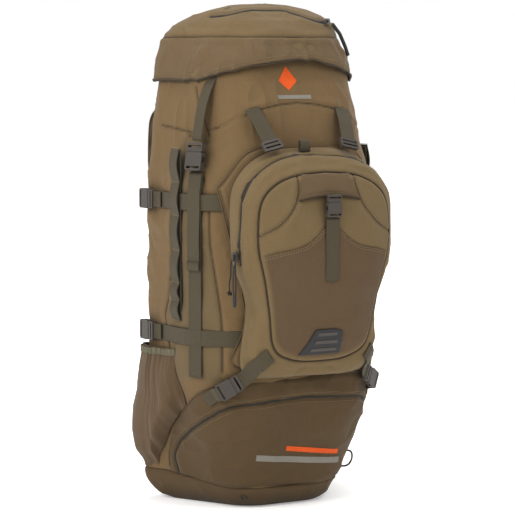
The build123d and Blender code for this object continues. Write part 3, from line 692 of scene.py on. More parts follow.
def round_profile(radius, count=10):
    turns = np.linspace(0, 2 * np.pi, count, endpoint=False)
    return np.stack([radius * np.cos(turns), radius * np.sin(turns)], axis=1)


def merged(parts):
    """Several (points, faces, uv) as one."""
    points, faces, uvs, first = [], [], [], 0
    for these, those, uv in parts:
        points.append(these)
        uvs.append(uv)
        faces += [tuple(first + i for i in face) for face in those]
        first += len(these)
    return np.vstack(points), faces, np.vstack(uvs)


def strap_parts(path, outs, width, thick=1.9, wave=0.25, seed=0.0):
    """A strap's swept mesh, with a little life in it."""
    path = np.asarray(path, float)
    ripple = noise(path, 23, seed) * wave + noise(path, 60, seed + 3) * wave
    return swept(path + np.asarray(outs) * ripple[:, None], outs, tape_profile(width, thick))


def stitch_parts(path, outs, pitch=4.2, length=3.0, radius=0.42):
    """Row of stitches: a small pointed bead of thread for each."""
    spots = even(path, pitch)
    facing = resampled(outs, len(spots))
    tangents = tangents_of(spots)
    sides = np.cross(tangents, facing)
    parts = []
    ends = [(end, b, c) for end in (-0.28, 0.28) for b, c in ((1, 0), (0, 1), (-1, 0))]
    shape = [(-0.5, 0, 0)] + ends + [(0.5, 0, 0)]
    faces = [(0, 1, 2), (0, 2, 3), (1, 4, 5, 2), (2, 5, 6, 3), (4, 7, 5), (5, 7, 6), (0, 3, 1), (1, 3, 6, 4)]
    faces.append((4, 6, 7))
    for spot, tangent, side, out in zip(spots, tangents, sides, facing):
        points = np.array(
            [spot + tangent * a * length + side * b * radius + out * (c * radius + 0.1) for a, b, c in shape]
        )
        parts.append((points, faces, np.zeros((len(shape), 2))))
    return parts


def zip_parts(path, outs, coil=2.1, pitch=2.3, width=10):
    """Tape and coil of a zip: (tape, teeth)."""
    tape = swept(path, outs, tape_profile(width, 0.9))
    spots = even(path, pitch)
    facing = resampled(outs, len(spots))
    tangents = tangents_of(spots)
    sides = np.cross(tangents, facing)
    shape = [(a, b, c) for a in (-0.36, 0.36) for b, c in ((-1, 0), (-0.8, 1), (0.8, 1), (1, 0))]
    faces = [(3, 2, 1, 0), (4, 5, 6, 7), (0, 1, 5, 4), (1, 2, 6, 5), (2, 3, 7, 6), (3, 0, 4, 7)]
    teeth = []
    for i, (spot, tangent, side, out) in enumerate(zip(spots, tangents, sides, facing)):
        shift = 0.45 if i % 2 else -0.45
        points = np.array(
            [spot + tangent * a * pitch + side * (b * coil + shift) + out * (0.7 + c * 1.0) for a, b, c in shape]
        )
        teeth.append((points, faces, np.zeros((len(shape), 2))))
    return tape, teeth


def joined_piece(name, parts, material, body, nodes=(), smooth=True):
    """Several swept parts as one mesh of the object."""
    points, faces, uv = merged(parts)
    return piece(name, points, faces, material, body, nodes, uv, smooth=smooth)


def trim(name, path, outs, radius, material, body, nodes=(), count=10):
    """Round piping or binding along a line."""
    return joined_piece(name, [swept(path, outs, round_profile(radius, count))], material, body, nodes)


def sewn_web(name, parts, body, nodes=()):
    """Webbing, one or more runs of it."""
    return joined_piece(name, parts, "web", body, nodes)


def zip_pieces(name, skin, path, body, tape_material, node, lift=-0.2, **size):
    """A zip's tape and coil laid on a cloth. Returns the line that it lies on."""
    places, outs = skin.lay(path, lift)
    tape, teeth = zip_parts(places, outs, **size)
    joined_piece(f"{name}_tape", [tape], tape_material, body, [node])
    joined_piece(f"{name}_coil", teeth, "teeth", body, smooth=False)
    return places, outs


def stitch_rows(skin, line, asides, body="root", **settings):
    """Rows of stitches beside a line that lies on a cloth."""
    for aside in asides:
        stitch(skin, shifted(*line, aside), body, **settings)


stitching = {"root": [], "lid": [], "daypack": []}


def stitch(skin, path, body="root", lift=0.25, **settings):
    """Row of stitches laid on a finished cloth."""
    places, outs = skin.lay(path, lift)
    stitching[body] += stitch_parts(places, outs, **settings)


def shifted(path, outs, aside):
    """The path moved sideways along the surface."""
    return path + np.cross(tangents_of(path), outs) * aside


# ---------------------------------------------------------------- seam lines shared by several pieces
BOOT_ARCH = [
    (-62, 37), (-55, 72), (-40, 104), (-22, 130), (-2, 150), (20, 168), (45, 184), (75, 199), (105, 210), (130, 216),
]


def boot_arch_z(y):
    """Height of the bottom compartment's arched seam at a depth."""
    depths, heights = np.array(BOOT_ARCH, float).T
    return float(np.interp(-y, depths, heights))


def arch_height(column):
    """Height at which the arched seam crosses one column of the bag's outline."""
    z = 150.0
    for _ in range(30):
        z = 0.5 * z + 0.5 * boot_arch_z(table_ring(z)[column][1])
    return z


def base_height(y):
    """Height of the seam between the base panel and the cloth above it."""
    return 33 + 16 * float(ramp(y, -75, 70))


arch_line_left = [on_side(y, boot_arch_z(y)) for y in (58, 45, 25, 2, -20, -45, -65, -80, -92)]
arch_line = curve_through(
    arch_line_left + [on_front(x, boot_arch_z(on_front(x, 208)[1])) for x in (-120, -80, -40, 0)], 5
)
yoke_seam = curve_through(
    [on_side(57, 598), on_side(16, 593), on_side(-24, 588), on_side(-48, 583)]
    + [on_front(x, z) for x, z in ((-146, 584), (-126, 596), (-98, 612), (-66, 624), (-30, 631), (0, 634))], 5
)
front_seam = curve_through(
    [on_front(x, z) for x, z in ((-150, 520), (-148, 470), (-147, 422), (-142, 374), (-134, 303), (-133, 224))], 5
)
side_seam = curve_through(
    [on_side(y, z) for y, z in ((1, 560), (2, 520), (6, 450), (8, 379), (18, 335), (24, 300), (16, 268), (10, 252))], 5
)
back_seam = curve_through([on_side(96, z) for z in (590, 500, 400, 300, 200, 110)], 6)

# ---------------------------------------------------------------- bag body
outer_rows = BAG_SECTIONS[(BAG_SECTIONS[:, 0] > 28) & (BAG_SECTIONS[:, 0] < 707)]
inner_rows = outer_rows[::-8]
grid = np.vstack([rings(outer_rows), rings(inner_rows, -2.6)])
bag = Skin(grid, wraps=True)
outside = np.zeros(bag.out.shape)
outside[: len(outer_rows)] = 1
x, y, z = bag.grid[..., 0], bag.grid[..., 1], bag.grid[..., 2]
collar = ramp(z, 555, 600) * (1 - ramp(z, 664, 676))
bag.mottle((70, 70, 60), 2.2, 1, ramp(z, 50, 90))
bag.creases((26, 26, 95), 1.5, 2, collar)
bag.mottle((14, 14, 60), 0.7, 3, collar)
bag.creases((60, 34, 26), 0.9, 4, ramp(z, 250, 300) * (1 - ramp(z, 520, 560)))
for height in COMPRESSION_HEIGHTS:
    away = np.abs(z - height)
    bag.out -= 2.2 * np.exp(-((away / 17) ** 2)) * ramp(y, -100, -60) * (1 - ramp(y, 98, 116))
    bag.out += 1.8 * np.exp(-(((away - 34) / 20) ** 2)) * ramp(y, -90, -30) * (1 - ramp(y, 92, 112))
    rays = noise(bag.grid * (0, 1, 0) + (0, 0, height), (1, 8.5, 1), 5)
    bag.out += 0.8 * rays * np.exp(-(((away - 20) / 15) ** 2)) * ramp(y, -80, -40) * (1 - ramp(y, 90, 112))
bag.folds(
    ([(-150, -48, 642), (-152, -40, 615), (-154, -34, 592), (-158, -34, 560)], 3.0, 9),
    ([(-143, -63, 655), (-146, -62, 625), (-150, -60, 600), (-155, -56, 575)], -2.4, 6),
    ([(-155, 30, 660), (-157, 26, 632), (-160, 20, 606)], 2.2, 9),
    ([(-155, 62, 655), (-157, 60, 628), (-160, 60, 604)], -1.9, 7),
    ([(-120, -82, 660), (-118, -88, 640), (-112, -92, 622)], 1.8, 9),
    ([(-85, -90, 668), (-80, -94, 650), (-70, -96, 634)], -1.4, 7),
    ([(-166, 80, 600), (-168, 70, 570), (-168, 74, 535)], 2.4, 10),
    ([(-167, 55, 420), (-168, 62, 380), (-168, 50, 330)], 2.2, 14),
    ([(-160, -60, 450), (-162, -52, 400), (-163, -58, 345)], 1.6, 10),
    ([(-158, 20, 668), (-160, 8, 640), (-158, 0, 612)], -2.6, 6),
    ([(-150, -20, 668), (-154, -22, 640), (-156, -20, 612)], 2.6, 8),
    ([(-167, 90, 470), (-168, 60, 450), (-168, 30, 430)], 2.2, 10),
    ([(-167, 96, 440), (-168, 70, 410), (-168, 44, 396)], -2.0, 9),
    ([(-167, 100, 400), (-168, 84, 360), (-168, 58, 340)], 2.4, 10),
    ([(-167, 84, 560), (-168, 50, 548), (-168, 22, 530)], -2.0, 8),
    ([(-60, -118, 610), (-90, -112, 600), (-120, -98, 590)], -1.6, 9),
    ([(40, -100, 650), (60, -98, 636), (84, -90, 630)], 1.8, 8),
)
bag.sew(yoke_seam)
bag.sew(front_seam, depth=1.5, width=2.6, dark=0.9)
bag.sew(side_seam, depth=2.0, width=2.8, puff=0.9, dark=0.95)
bag.sew(back_seam, width=2.6)
bag.sew([on_side(-21, 658), on_side(-37, 623), on_side(-50, 598), on_side(-56, 584)], depth=1.5)
bag.sew([np.array([-60, BACK_Y, 560.0]), np.array([-60, BACK_Y, 300.0])], depth=0.8)
bag.out *= outside
bag.seam *= outside
# the greyer strip of cloth between the side's two seams
behind = y < np.interp(z, [250, 300, 379, 560], [14, 23, 8, 1])
ahead = y > np.interp(z, [224, 300, 422, 560], [-95, -94, -80, -62])
bag.patch = 1.0 * (behind & ahead) * ramp(z, 205, 212) * (1 - ramp(z, 572, 590)) * outside
bag.build("bag_body", "bag", "root", ["main_bag_shell"], caps=(0, -1))

# a bound edge round the collar
rim = bag.grid[len(outer_rows) - 1][np.r_[0:AROUND, 0]] + (0, 0, 0.5)
trim("collar_binding", rim, same((0, 0, 1), rim), 2.3, "binding", "root")
for path, asides in ((yoke_seam, (3.4, -3.4)), (front_seam, (3.4,)), (side_seam, (3.4,))):
    for line in (path, mirrored(path)):
        stitch_rows(bag, bag.lay(even(line, 3)), asides)

# ---------------------------------------------------------------- base panel
# underneath, by height and how far inside the outline, then up the wall to its seam
base_rows = [(0.6, -60), (0.4, -34), (0.3, -16), (0.3, -8), (1.2, -3.6), (3.4, -1.2)]
layers = []
for low, grow in base_rows:
    outline = table_ring(low)
    offset = outline - outline.mean(0)
    flat = outline.mean(0) + offset * (1 + grow / np.linalg.norm(offset, axis=1, keepdims=True))
    layers.append(np.column_stack([flat, np.full(AROUND, low)]))
tops = [base_height(p[1]) + 1.5 for p in table_ring(40)]
for share in np.arange(1, 17) / 16:
    heights = [top * share + base_rows[-1][0] * (1 - share) for top in tops]
    layers.append(np.array([[*table_ring(h)[c], h] for c, h in enumerate(heights)]))
base = Skin(np.stack(layers), wraps=True)
z = base.grid[..., 2]
lifted = ramp(z, 2, 12)
base.mottle((60, 60, 40), 1.0, 6, lifted)
base.creases((38, 38, 16), 1.1, 7, lifted * (1 - ramp(z, 30, 42)))
share = np.linspace(0, 1, len(layers))[:, None]
base.out += 2.2 * lifted
base.out -= 3.2 * ramp(share, 0.93, 1.0)
# painted shade in the groove along the base panel's top seam
base.seam = 0.85 * ramp(share, 0.95, 1.0) * np.ones(base.out.shape)
base.build("base_panel_cloth", "boot", "root", ["base_panel"], caps=(0,))

# drain eyelet
spots, outs = base.lay([(-76, -61, 20), (-75.9, -61, 20)])
out = outs[0]
sideways = unit(np.cross(out, (0, 0, 1.0)))
turns = np.linspace(0, 2 * np.pi, 25)
circle = spots[0] + np.outer(np.cos(turns), sideways) * 4.0 + np.outer(np.sin(turns), np.cross(sideways, out)) * 4.0
joined_piece("drain_eyelet", [swept(circle, same(out, turns), round_profile(1.1, 8))], "metal", "root")

# ---------------------------------------------------------------- bottom compartment
columns = [c for c in range(AROUND) if table_ring(60)[c][1] < 55]
share = np.linspace(0, 1, 66)
grid = np.zeros((len(share), len(columns), 3))
for j, c in enumerate(columns):
    low = base_height(table_ring(40)[c][1])
    top = max(arch_height(c) - 0.5, low + 2)
    for i, t in enumerate(share):
        height = low + (top - low) * t
        grid[i, j] = [*table_ring(height)[c], height]
boot = Skin(grid)
t = share[:, None] * np.ones(boot.out.shape)
x, y, z = boot.grid[..., 0], boot.grid[..., 1], boot.grid[..., 2]
edge = np.minimum(ramp(t, 0, 0.05), 1 - ramp(t, 0.955, 1.0)) * (1 - ramp(y, 40, 55))
boot.out += 3.0 * edge - 0.6 * (1 - edge)
boot.out += 2.2 * np.sin(np.pi * np.clip(t, 0, 1)) ** 0.8 * (1 - ramp(y, -20, 50)) * edge
boot.mottle((55, 55, 40), 2.0, 8, edge)
boot.creases((44, 44, 22), 1.3, 9, edge)
boot.mottle((16, 16, 30), 0.5, 10, edge)
zip_line = curve_through(
    [on_side(y, z) for y, z in ((33, 52), (36, 76), (21, 99), (-3, 116), (-36, 134), (-62, 150))]
    + [on_front(x, z) for x, z in ((-118, 167), (-90, 173), (-59, 175), (-20, 177), (13, 178))]
    + [on_front(x, z) for x, z in ((59, 175), (90, 173), (118, 167))]
    + [mirrored(on_side(y, z)) for y, z in ((-62, 150), (-36, 134), (-3, 116), (21, 99), (36, 76), (33, 52))],
    3,
)
boot.both = False
boot.sew(zip_line, depth=1.6, width=3.4, puff=1.3, dark=0.8)
boot.both = True
boot.folds(
    ([(-125, -60, 60), (-132, -56, 90), (-138, -52, 118)], 2.0, 14),
    ([(-112, -76, 150), (-100, -86, 128), (-96, -84, 98)], -1.4, 10),
    ([(-150, 20, 60), (-152, 5, 80), (-150, -20, 100)], 1.6, 10),
)
boot.build("bottom_compartment_cloth", "boot", "root", ["bottom_compartment"])
zip_pieces("bottom_zip", boot, zip_line, "root", "zip light", "bottom_zip", -0.3, coil=1.4, width=6)
stitch_rows(boot, boot.lay(even(zip_line, 3)), (8.0, -8.0))
arch_laid = boot.lay(even(np.vstack([arch_line, mirrored(arch_line[::-1])]), 4), 0.2)
trim("bottom_arch_piping", *arch_laid, 1.3, "piping light", "root")


# ---------------------------------------------------------------- flat prints, plain bars in place of lettering
def patch_on(skin, name, corners, material, body, lift=0.5, across=40, up=6):
    """Thin print on a cloth, between four corners in the x-z plane of the front."""
    corners = np.array(corners, float)
    grid = []
    for v in np.linspace(0, 1, up):
        low = corners[0] * (1 - v) + corners[3] * v
        high = corners[1] * (1 - v) + corners[2] * v
        grid.append([low * (1 - u) + high * u for u in np.linspace(0, 1, across)])
    places, outs = seen_from_front(skin, np.array(grid).reshape(-1, 3)[:, (0, 2)])
    places += outs * lift
    faces = grid_faces(up, across, False)
    back = places + (0, 0.8, 0)
    faces += [tuple(i + len(places) for i in face[::-1]) for face in faces]
    return piece(name, np.vstack([places, back]), faces, material, body)


patch_on(boot, "print_bar_upper", [(-22, 0, 93), (80, 0, 78), (80, 0, 86), (-22, 0, 101)], "orange", "root")
patch_on(boot, "print_bar_lower", [(-72, 0, 80), (86, 0, 62), (86, 0, 72), (-72, 0, 90)], "grey", "root")

# ---------------------------------------------------------------- side pockets
POCKET = [(50, 3), (78, 20), (110, 28), (147, 30), (190, 24), (222, 15), (252, 8)]
start = int(np.argmin(np.abs(table_ring(200)[:HALF, 1] - 109) + 1000 * (table_ring(200)[:HALF, 0] > -120)))
stop = int(np.argmin(np.abs(table_ring(200)[:HALF, 1] + 9)))
fine = np.linspace(start, stop, 110)
rows = 76
grid = np.zeros((rows, len(fine), 3))
fullness = np.zeros((rows, len(fine)))
for j, c in enumerate(fine):
    ring_y = np.interp(c, np.arange(AROUND), table_ring(150)[:, 1])
    low = max(52.0 if ring_y > 55 else 0.0, boot_arch_z(ring_y) + 1.5)
    for i in range(rows):
        height = low + (250 - low) * i / (rows - 1)
        outline = table_ring(height)
        spot = [np.interp(c, np.arange(AROUND), outline[:, k]) for k in (0, 1)]
        full = np.interp(height, [p[0] for p in POCKET], [p[1] for p in POCKET])
        ends = ramp(spot[1], -9, 16) * (1 - ramp(spot[1], 99, 109))
        full *= ends ** 0.6 * ramp(height, low - 3, low + 34) ** 0.6
        grid[i, j] = [spot[0], spot[1], height]
        fullness[i, j] = full
pocket = Skin(grid, both=False)
pocket.grid = pocket.grid + pocket.normals() * (fullness * 0.92 + 0.3)[..., None]
t = np.linspace(0, 1, rows)[:, None] * np.ones(pocket.out.shape)
u = np.linspace(0, 1, len(fine))[None, :] * np.ones(pocket.out.shape)
pleat = np.stack([u * 100, u * 0, t * 8], axis=2)
inner = ramp(u, 0, 0.08) * (1 - ramp(u, 0.92, 1))
pocket.out += 3.0 * noise(pleat, (5.2, 1, 5), 1) * (0.35 + 0.65 * ramp(t, 0.35, 0.95)) * inner
pocket.out += 2.6 * noise(pleat, (8.5, 1, 4), 2) * (1 - ramp(t, 0.1, 0.7)) * inner
pocket.out += 0.7 * noise(pleat, (2.2, 1, 3), 3) * ramp(t, 0.55, 1.0) * inner
# painted shade where the pocket's two ends are sewn to the bag
pocket.seam = 0.7 * np.maximum(1 - ramp(u, 0, 0.03), ramp(u, 0.975, 1))
shape = pocket.points()
for side_name, side in SIDES.items():
    this = Skin(*on_hand(side, shape), both=False)
    this.seam = pocket.seam
    nodes = [f"side_pocket_{side_name}"]
    made = this.build(f"stretch_pocket_{side_name}", "stretch", "root", nodes, turn=side > 0)
    add_wall(made, 1.5)
    line = even(this.grid[-4], 1.1)
    facing = unit(resampled(this.normals()[-4] * -side, len(line)) * (1, 1, 0))
    puff = 0.35 * np.sin(np.arange(len(line)) * 2 * np.pi / 3.0)
    band = swept(line + facing * (0.2 + puff)[:, None], facing, tape_profile(11, 2.2))
    nodes = once(side, "pocket_bindings")
    joined_piece(f"pocket_binding_{side_name}", [band], "gather", "root", nodes)

# ---------------------------------------------------------------- webbing on the sides
side_webs = []
for side in (-1, 1):
    for height in COMPRESSION_HEIGHTS:
        front_end = -108 if height > 400 else -115.5
        run = [on_side(y, height, 1.3) for y in np.linspace(44, 2, 15)]
        run += [on_side(y, height, 1.3 if y > -34 else 1.9) for y in np.linspace(-2, front_end, 44)]
        rear = [on_side(y, height, 0.9) for y in np.linspace(92, 116.5, 16)]
        for path, seed in ((np.array(run), side), (np.array(rear), side + 4)):
            outs = front_turn(path)
            outs *= np.sign((outs * (path - (0, 0, height))).sum(1, keepdims=True))
            side_webs.append(strap_parts(*on_hand(side, path, outs), 25, seed=height / 50 + seed))
sewn_web("compression_webbing", side_webs, "root", ["compression_straps"])

# the strap's turned end through each plug's bar, which slides over the run as the plug comes out
for side_name, side in SIDES.items():
    for level, height in zip(("upper", "lower"), COMPRESSION_HEIGHTS):
        spots = ((8.0, 54), (7.7, 50), (6.2, 46.5), (5.0, 43), (4.8, 38), (4.8, 31))
        path = curve_through([(side * (SIDE_X + r), y, height) for r, y in spots], 3)
        end = strap_parts(path, same((side, 0.01, 0), path), 24.5, wave=0.05, seed=side + 7)
        sewn_web(f"{level}_turned_end_{side_name}", [end], f"{level}_release_{side_name}")

# daisy chains: loops between bar tacks
DAISY_TACKS = [564, 513, 462, 408, 357, 331, 300]
chains = []
for side in (-1, 1):
    heights = np.arange(300, 565, 3.0)
    lift = np.full(len(heights), 0.6)
    for low, high in zip(DAISY_TACKS[1:], DAISY_TACKS[:-1]):
        inside = (heights >= low) & (heights <= high)
        lift[inside] += 4.6 * np.clip(np.sin(np.pi * (heights[inside] - low) / (high - low)), 0, 1) ** 1.3
    path = np.array([[-SIDE_X - 2.6 - l, -16.5 + 0.9 * math.sin(h / 17), h] for h, l in zip(heights, lift)])
    flat_back = np.array([[-SIDE_X - 0.5, -16.5, h] for h in np.arange(298, 567, 6.0)])
    for line, wave, seed in ((path, 0.15, side), (flat_back, 0.1, side + 9)):
        chains.append(strap_parts(*on_hand(side, line, same((-1, 0, 0), line)), 25, wave=wave, seed=seed))
    for tack in DAISY_TACKS:
        for step in (-1.1, 1.1):
            line = np.array([[side * (SIDE_X + 4.9), -16.5 + w, tack + step] for w in np.linspace(-10.5, 10.5, 12)])
            stitching["root"] += stitch_parts(line, same((side, 0, 0), line), pitch=1.6, length=1.7, radius=0.55)
sewn_web("daisy_webbing", chains, "root", ["daisy_chains"])

# ---------------------------------------------------------------- lid
HEM_RISE = 33.0


def hem_height(x, y):
    """Height of the lid's hem: straight at the sides and back, arched over the front."""
    arch = HEM_RISE * max(0.0, 1 - (x / 146) ** 2)
    return LID_HEM + 1 + arch * float(ramp(-y, 20, 62))


lid_grid = rings(LID_SECTIONS)
top_centre = lid_grid[-1].mean(0)
crown = [top_centre + (lid_grid[-1] - top_centre) * s + (0, 0, 1.6 * (1 - s * s)) for s in (0.8, 0.6, 0.4, 0.2)]
lid_grid = np.concatenate([lid_grid, np.stack(crown)])
ridge_row = int(np.argmin(np.abs(LID_SECTIONS[:, 0] - 735)))
for c in range(AROUND):
    column = lid_grid[: ridge_row + 1, c].copy()
    hem = hem_height(column[0, 0], column[0, 1])
    wanted = np.linspace(hem, column[-1, 2], ridge_row + 1)
    for k in range(3):
        lid_grid[: ridge_row + 1, c, k] = np.interp(wanted, column[:, 2], column[:, k])
under = rings(LID_SECTIONS[:ridge_row:3][::-1], -2.4)
for c in range(AROUND):
    hem = hem_height(lid_grid[0, c, 0], lid_grid[0, c, 1])
    column = under[:, c].copy()[::-1]
    wanted = np.linspace(hem, column[-1, 2], len(column))
    for k in range(3):
        under[::-1][:, c, k] = np.interp(wanted, column[:, 2], column[:, k])
lid = Skin(np.concatenate([under, lid_grid]), wraps=True)
first = len(under)
outside = np.zeros(lid.out.shape)
outside[first:] = 1
x, y, z = lid.grid[..., 0], lid.grid[..., 1], lid.grid[..., 2]
band = outside * (1 - ramp(z, 728, 738))
dome = outside * ramp(z, 732, 744)
lid.mottle((60, 60, 30), 1.6, 20, outside)
lid.mottle((95, 95, 60), 2.4, 21, dome)
lid.creases((60, 60, 24), 1.3, 22, dome * (1 - 0.5 * ramp(z, 770, 785)))
lid.creases((24, 24, 50), 1.5, 23, band)
lid.mottle((9, 9, 40), 0.45, 24, band)
front_side = ramp(-y, 10, 60)
lid.out += 1.4 * band * np.exp(-(((z - 700) / 16) ** 2)) * front_side
lid.both = False
lid.folds(
    ([(120, -40, 728), (128, -30, 708), (138, -10, 684)], 2.6, 6),
    ([(108, -52, 730), (116, -44, 706), (128, -28, 686)], -2.2, 5),
    ([(92, -62, 730), (100, -60, 712), (112, -48, 694)], 2.0, 6),
    ([(-118, -30, 730), (-130, -22, 706), (-142, -8, 680)], 2.2, 8),
    ([(-140, 10, 728), (-150, 20, 700), (-158, 30, 676)], -2.0, 7),
    ([(-150, 50, 730), (-158, 62, 704), (-162, 70, 680)], 2.0, 8),
    ([(-60, -72, 744), (-20, -70, 748), (30, -68, 742)], 1.6, 9),
    ([(-125, 10, 742), (-118, 30, 760), (-90, 40, 776)], -1.5, 9),
    ([(-150, 60, 726), (-138, -2, 716), (-120, -40, 712), (-96, -62, 700)], 2.8, 11),
    ([(-158, 40, 700), (-148, 4, 694), (-132, -34, 686)], -2.6, 8),
    ([(-152, -4, 722), (-146, -10, 700), (-142, -6, 680)], 2.6, 7),
    ([(-80, -74, 728), (-60, -80, 716), (-40, -82, 704)], 2.0, 9),
    ([(-20, -80, 730), (10, -84, 722), (50, -80, 718)], -1.8, 8),
    ([(-60, -40, 764), (-20, -48, 758), (30, -44, 764)], -2.0, 12),
    ([(-110, -10, 752), (-84, -34, 750), (-50, -52, 748)], 2.4, 10),
    ([(70, -50, 750), (96, -30, 752), (110, 0, 752)], 2.0, 10),
)
lid.both = True
ridge = lid.grid[first + ridge_row][np.r_[0:AROUND, 0]]
lid.sew(ridge, depth=1.5, width=2.4, puff=1.1, dark=0.7)
zip_ring = lid.grid[first + int(np.argmin(np.abs(LID_SECTIONS[:, 0] - 760)))]
zip_columns = [c for c in range(AROUND) if abs(zip_ring[c, 0]) < 112 and zip_ring[c, 1] < 24]
lid_zip_path = []
for c in zip_columns:
    # level by the slider's run on the right, rising over the middle of the dome
    height = 760.5 + 17 * float(ramp(-zip_ring[c, 0], -72, 0)) - 10 * float(ramp(-zip_ring[c, 0], 40, 112))
    lid_zip_path.append([np.interp(height, lid.grid[first:-4, c, 2], lid.grid[first:-4, c, k]) for k in range(3)])
lid_zip_path = even(lid_zip_path, 3)
lid.both = False
lid.sew(lid_zip_path, depth=1.4, width=3.4, puff=1.6, dark=0.7)
lid.both = True
lid.sew([np.array([-40.0, 96, 740]), np.array([-46.0, 60, 782])], depth=0.9)
lid.patch = band * 1.0
lid.out *= outside
lid.seam *= outside
lid.build("lid_cloth", "lid", "lid", ["lid_band", "lid_top"], caps=(0, -1))
hem_line = lid.final[first * AROUND : (first + 1) * AROUND][np.r_[0:AROUND, 0]]
hem_outs = lid.normals()[first][np.r_[0:AROUND, 0]]
hem_tape = swept(hem_line - hem_outs * 1.2, hem_outs, tape_profile(4.5, 2.0))
joined_piece("lid_hem_binding", [hem_tape], "binding", "lid")
laid = zip_pieces("lid_zip", lid, even(lid_zip_path, 3), "lid", "zip", "lid_zip")
stitch_rows(lid, laid, (8.2, -8.2), "lid")
laid = lid.lay(even(ridge, 4), 0.0)
trim("lid_ridge_piping", *laid, 0.9, "piping light", "lid")
stitch_rows(lid, laid, (4.2,), "lid")
hem_up = lid.final[(first + 5) * AROUND : (first + 6) * AROUND]
stitch(lid, even(hem_up[20:-20], 3), "lid")

# the mark on the band: one plain orange lozenge over a grey bar
lozenge = [(-27, 0, 668), (-11, 0, 653), (5, 0, 668), (-11, 0, 690)]
patch_on(bag, "print_lozenge", lozenge, "orange", "root", across=12, up=12)
patch_on(bag, "print_bar_collar", [(-34, 0, 640), (26, 0, 640), (26, 0, 646), (-34, 0, 646)], "grey", "root")

# ---------------------------------------------------------------- daypack
BACK_OUTLINE = [
    (0, 566), (50, 564), (92, 550), (120, 526), (134, 496), (135, 450), (131, 396), (112, 345), (109, 310),
    (118, 252), (114, 226), (92, 215), (50, 213), (0, 213),
]
ZIP_OUTLINE = [
    (0, 556), (45, 554), (76, 546), (106, 526), (125, 498), (133, 470), (133, 425), (129, 385), (108, 340),
    (103, 305), (108, 256), (100, 230), (72, 220), (40, 218), (0, 218),
]
PIPE_OUTLINE = [
    (0, 531), (38, 528), (72, 520), (98, 504), (112, 482), (116, 445), (114, 410), (103, 365), (92, 312),
    (86, 275), (75, 256), (54, 246), (30, 241), (0, 240),
]
DAY_CENTRE = np.array([0.0, 392.0])
DAY_AROUND = 300


def polar(outline):
    """Outline as points at even turns round the daypack's centre, starting at the top, by the left."""
    half = np.array(outline, float)
    full = np.vstack([half * (-1, 1), (half[1:-1])[::-1]])
    closed = curve_through(np.vstack([full, full[:1]]), 2)
    delta = closed - DAY_CENTRE
    turn = np.unwrap(np.arctan2(-delta[:, 0], delta[:, 1]))
    turn -= turn[0]
    distance = np.linalg.norm(delta, axis=1)
    turns = np.linspace(0, 2 * np.pi, DAY_AROUND, endpoint=False)
    if turn[-1] < 0:
        turn = -turn
    radius = np.interp(turns, turn, distance)
    weights = np.array([1, 2, 3, 2, 1]) / 9
    radius = np.convolve(np.r_[radius[-2:], radius, radius[:2]], weights, "valid")
    return np.stack([DAY_CENTRE[0] - radius * np.sin(turns), DAY_CENTRE[1] + radius * np.cos(turns)], axis=1)


def day_row(outline, y, scale=1.0):
    flat = DAY_CENTRE + (outline - DAY_CENTRE) * scale
    return np.stack([flat[:, 0], np.broadcast_to(y, flat[:, 0].shape), flat[:, 1]], axis=1)


def crown_y(share):
    """Depth of the daypack's crowned front, from 0 at its centre to 1 at the piping."""
    return -176 - 21.5 * (1 - share**2.6) ** 0.75


back_out, zip_out, pipe_out = (polar(o) for o in (BACK_OUTLINE, ZIP_OUTLINE, PIPE_OUTLINE))
day_rows = []
for t in np.linspace(0, 1, 11, endpoint=False):
    day_rows.append(day_row(back_out * (1 - t) + zip_out * t, -123.2 - 26.8 * t))
for t in np.linspace(0, 1, 13, endpoint=False):
    bulge = 1 + 0.030 * np.sin(np.pi * t)
    day_rows.append(day_row(zip_out * (1 - t) + pipe_out * t, -150 - 26 * t**0.85, bulge))
PIPE_ROW = len(day_rows)
for s in np.linspace(1, 0.03, 58):
    day_rows.append(day_row(pipe_out, crown_y(s), s))
day_inner = [day_row(back_out, -126, 0.97), day_row(back_out, -125, 0.6)]
day_shape = np.stack(day_inner[::-1] + day_rows)


def thinner(points):
    """The daypack gets shallower towards its foot."""
    share = np.clip((-123 - points[..., 1]) / 53, 0, 1) * (1 - ramp(points[..., 2], 225, 400))
    points[..., 1] += 14 * share
    return points


day = Skin(thinner(day_shape), wraps=True)
DAY_FIRST = len(day_inner)
x, y, z = day.grid[..., 0], day.grid[..., 1], day.grid[..., 2]
index = np.arange(len(day.grid))[:, None] * np.ones(DAY_AROUND)
flanks = (1 - ramp(index, DAY_FIRST + PIPE_ROW - 3, DAY_FIRST + PIPE_ROW)) * ramp(index, DAY_FIRST, DAY_FIRST + 4)
panel = ramp(index, DAY_FIRST + PIPE_ROW + 1, DAY_FIRST + PIPE_ROW + 5)
day.mottle((50, 30, 50), 1.6, 30, flanks)
day.creases((40, 14, 40), 1.4, 31, flanks)
day.mottle((70, 40, 70), 1.5, 32, panel)
day.mottle((26, 30, 34), 0.8, 33, panel)
day.creases((48, 30, 30), 0.8, 34, panel * (1 - ramp(z, 300, 345)))
day.folds(
    ([(-70, -190, 330), (-40, -198, 352), (0, -200, 360)], 1.5, 16),
    ([(-85, -186, 300), (-50, -196, 292), (-10, -198, 300)], -1.3, 12),
    ([(-60, -190, 470), (-75, -188, 440), (-92, -186, 425)], 1.4, 10),
    ([(-134, -140, 380), (-128, -150, 350), (-112, -168, 330)], 2.2, 9),
    ([(-130, -138, 350), (-122, -150, 322), (-106, -162, 300)], -2.0, 8),
    ([(-120, -135, 300), (-114, -150, 280), (-100, -160, 262)], 2.0, 10),
    ([(-60, -148, 222), (-20, -160, 228), (30, -158, 224)], -1.6, 9),
)


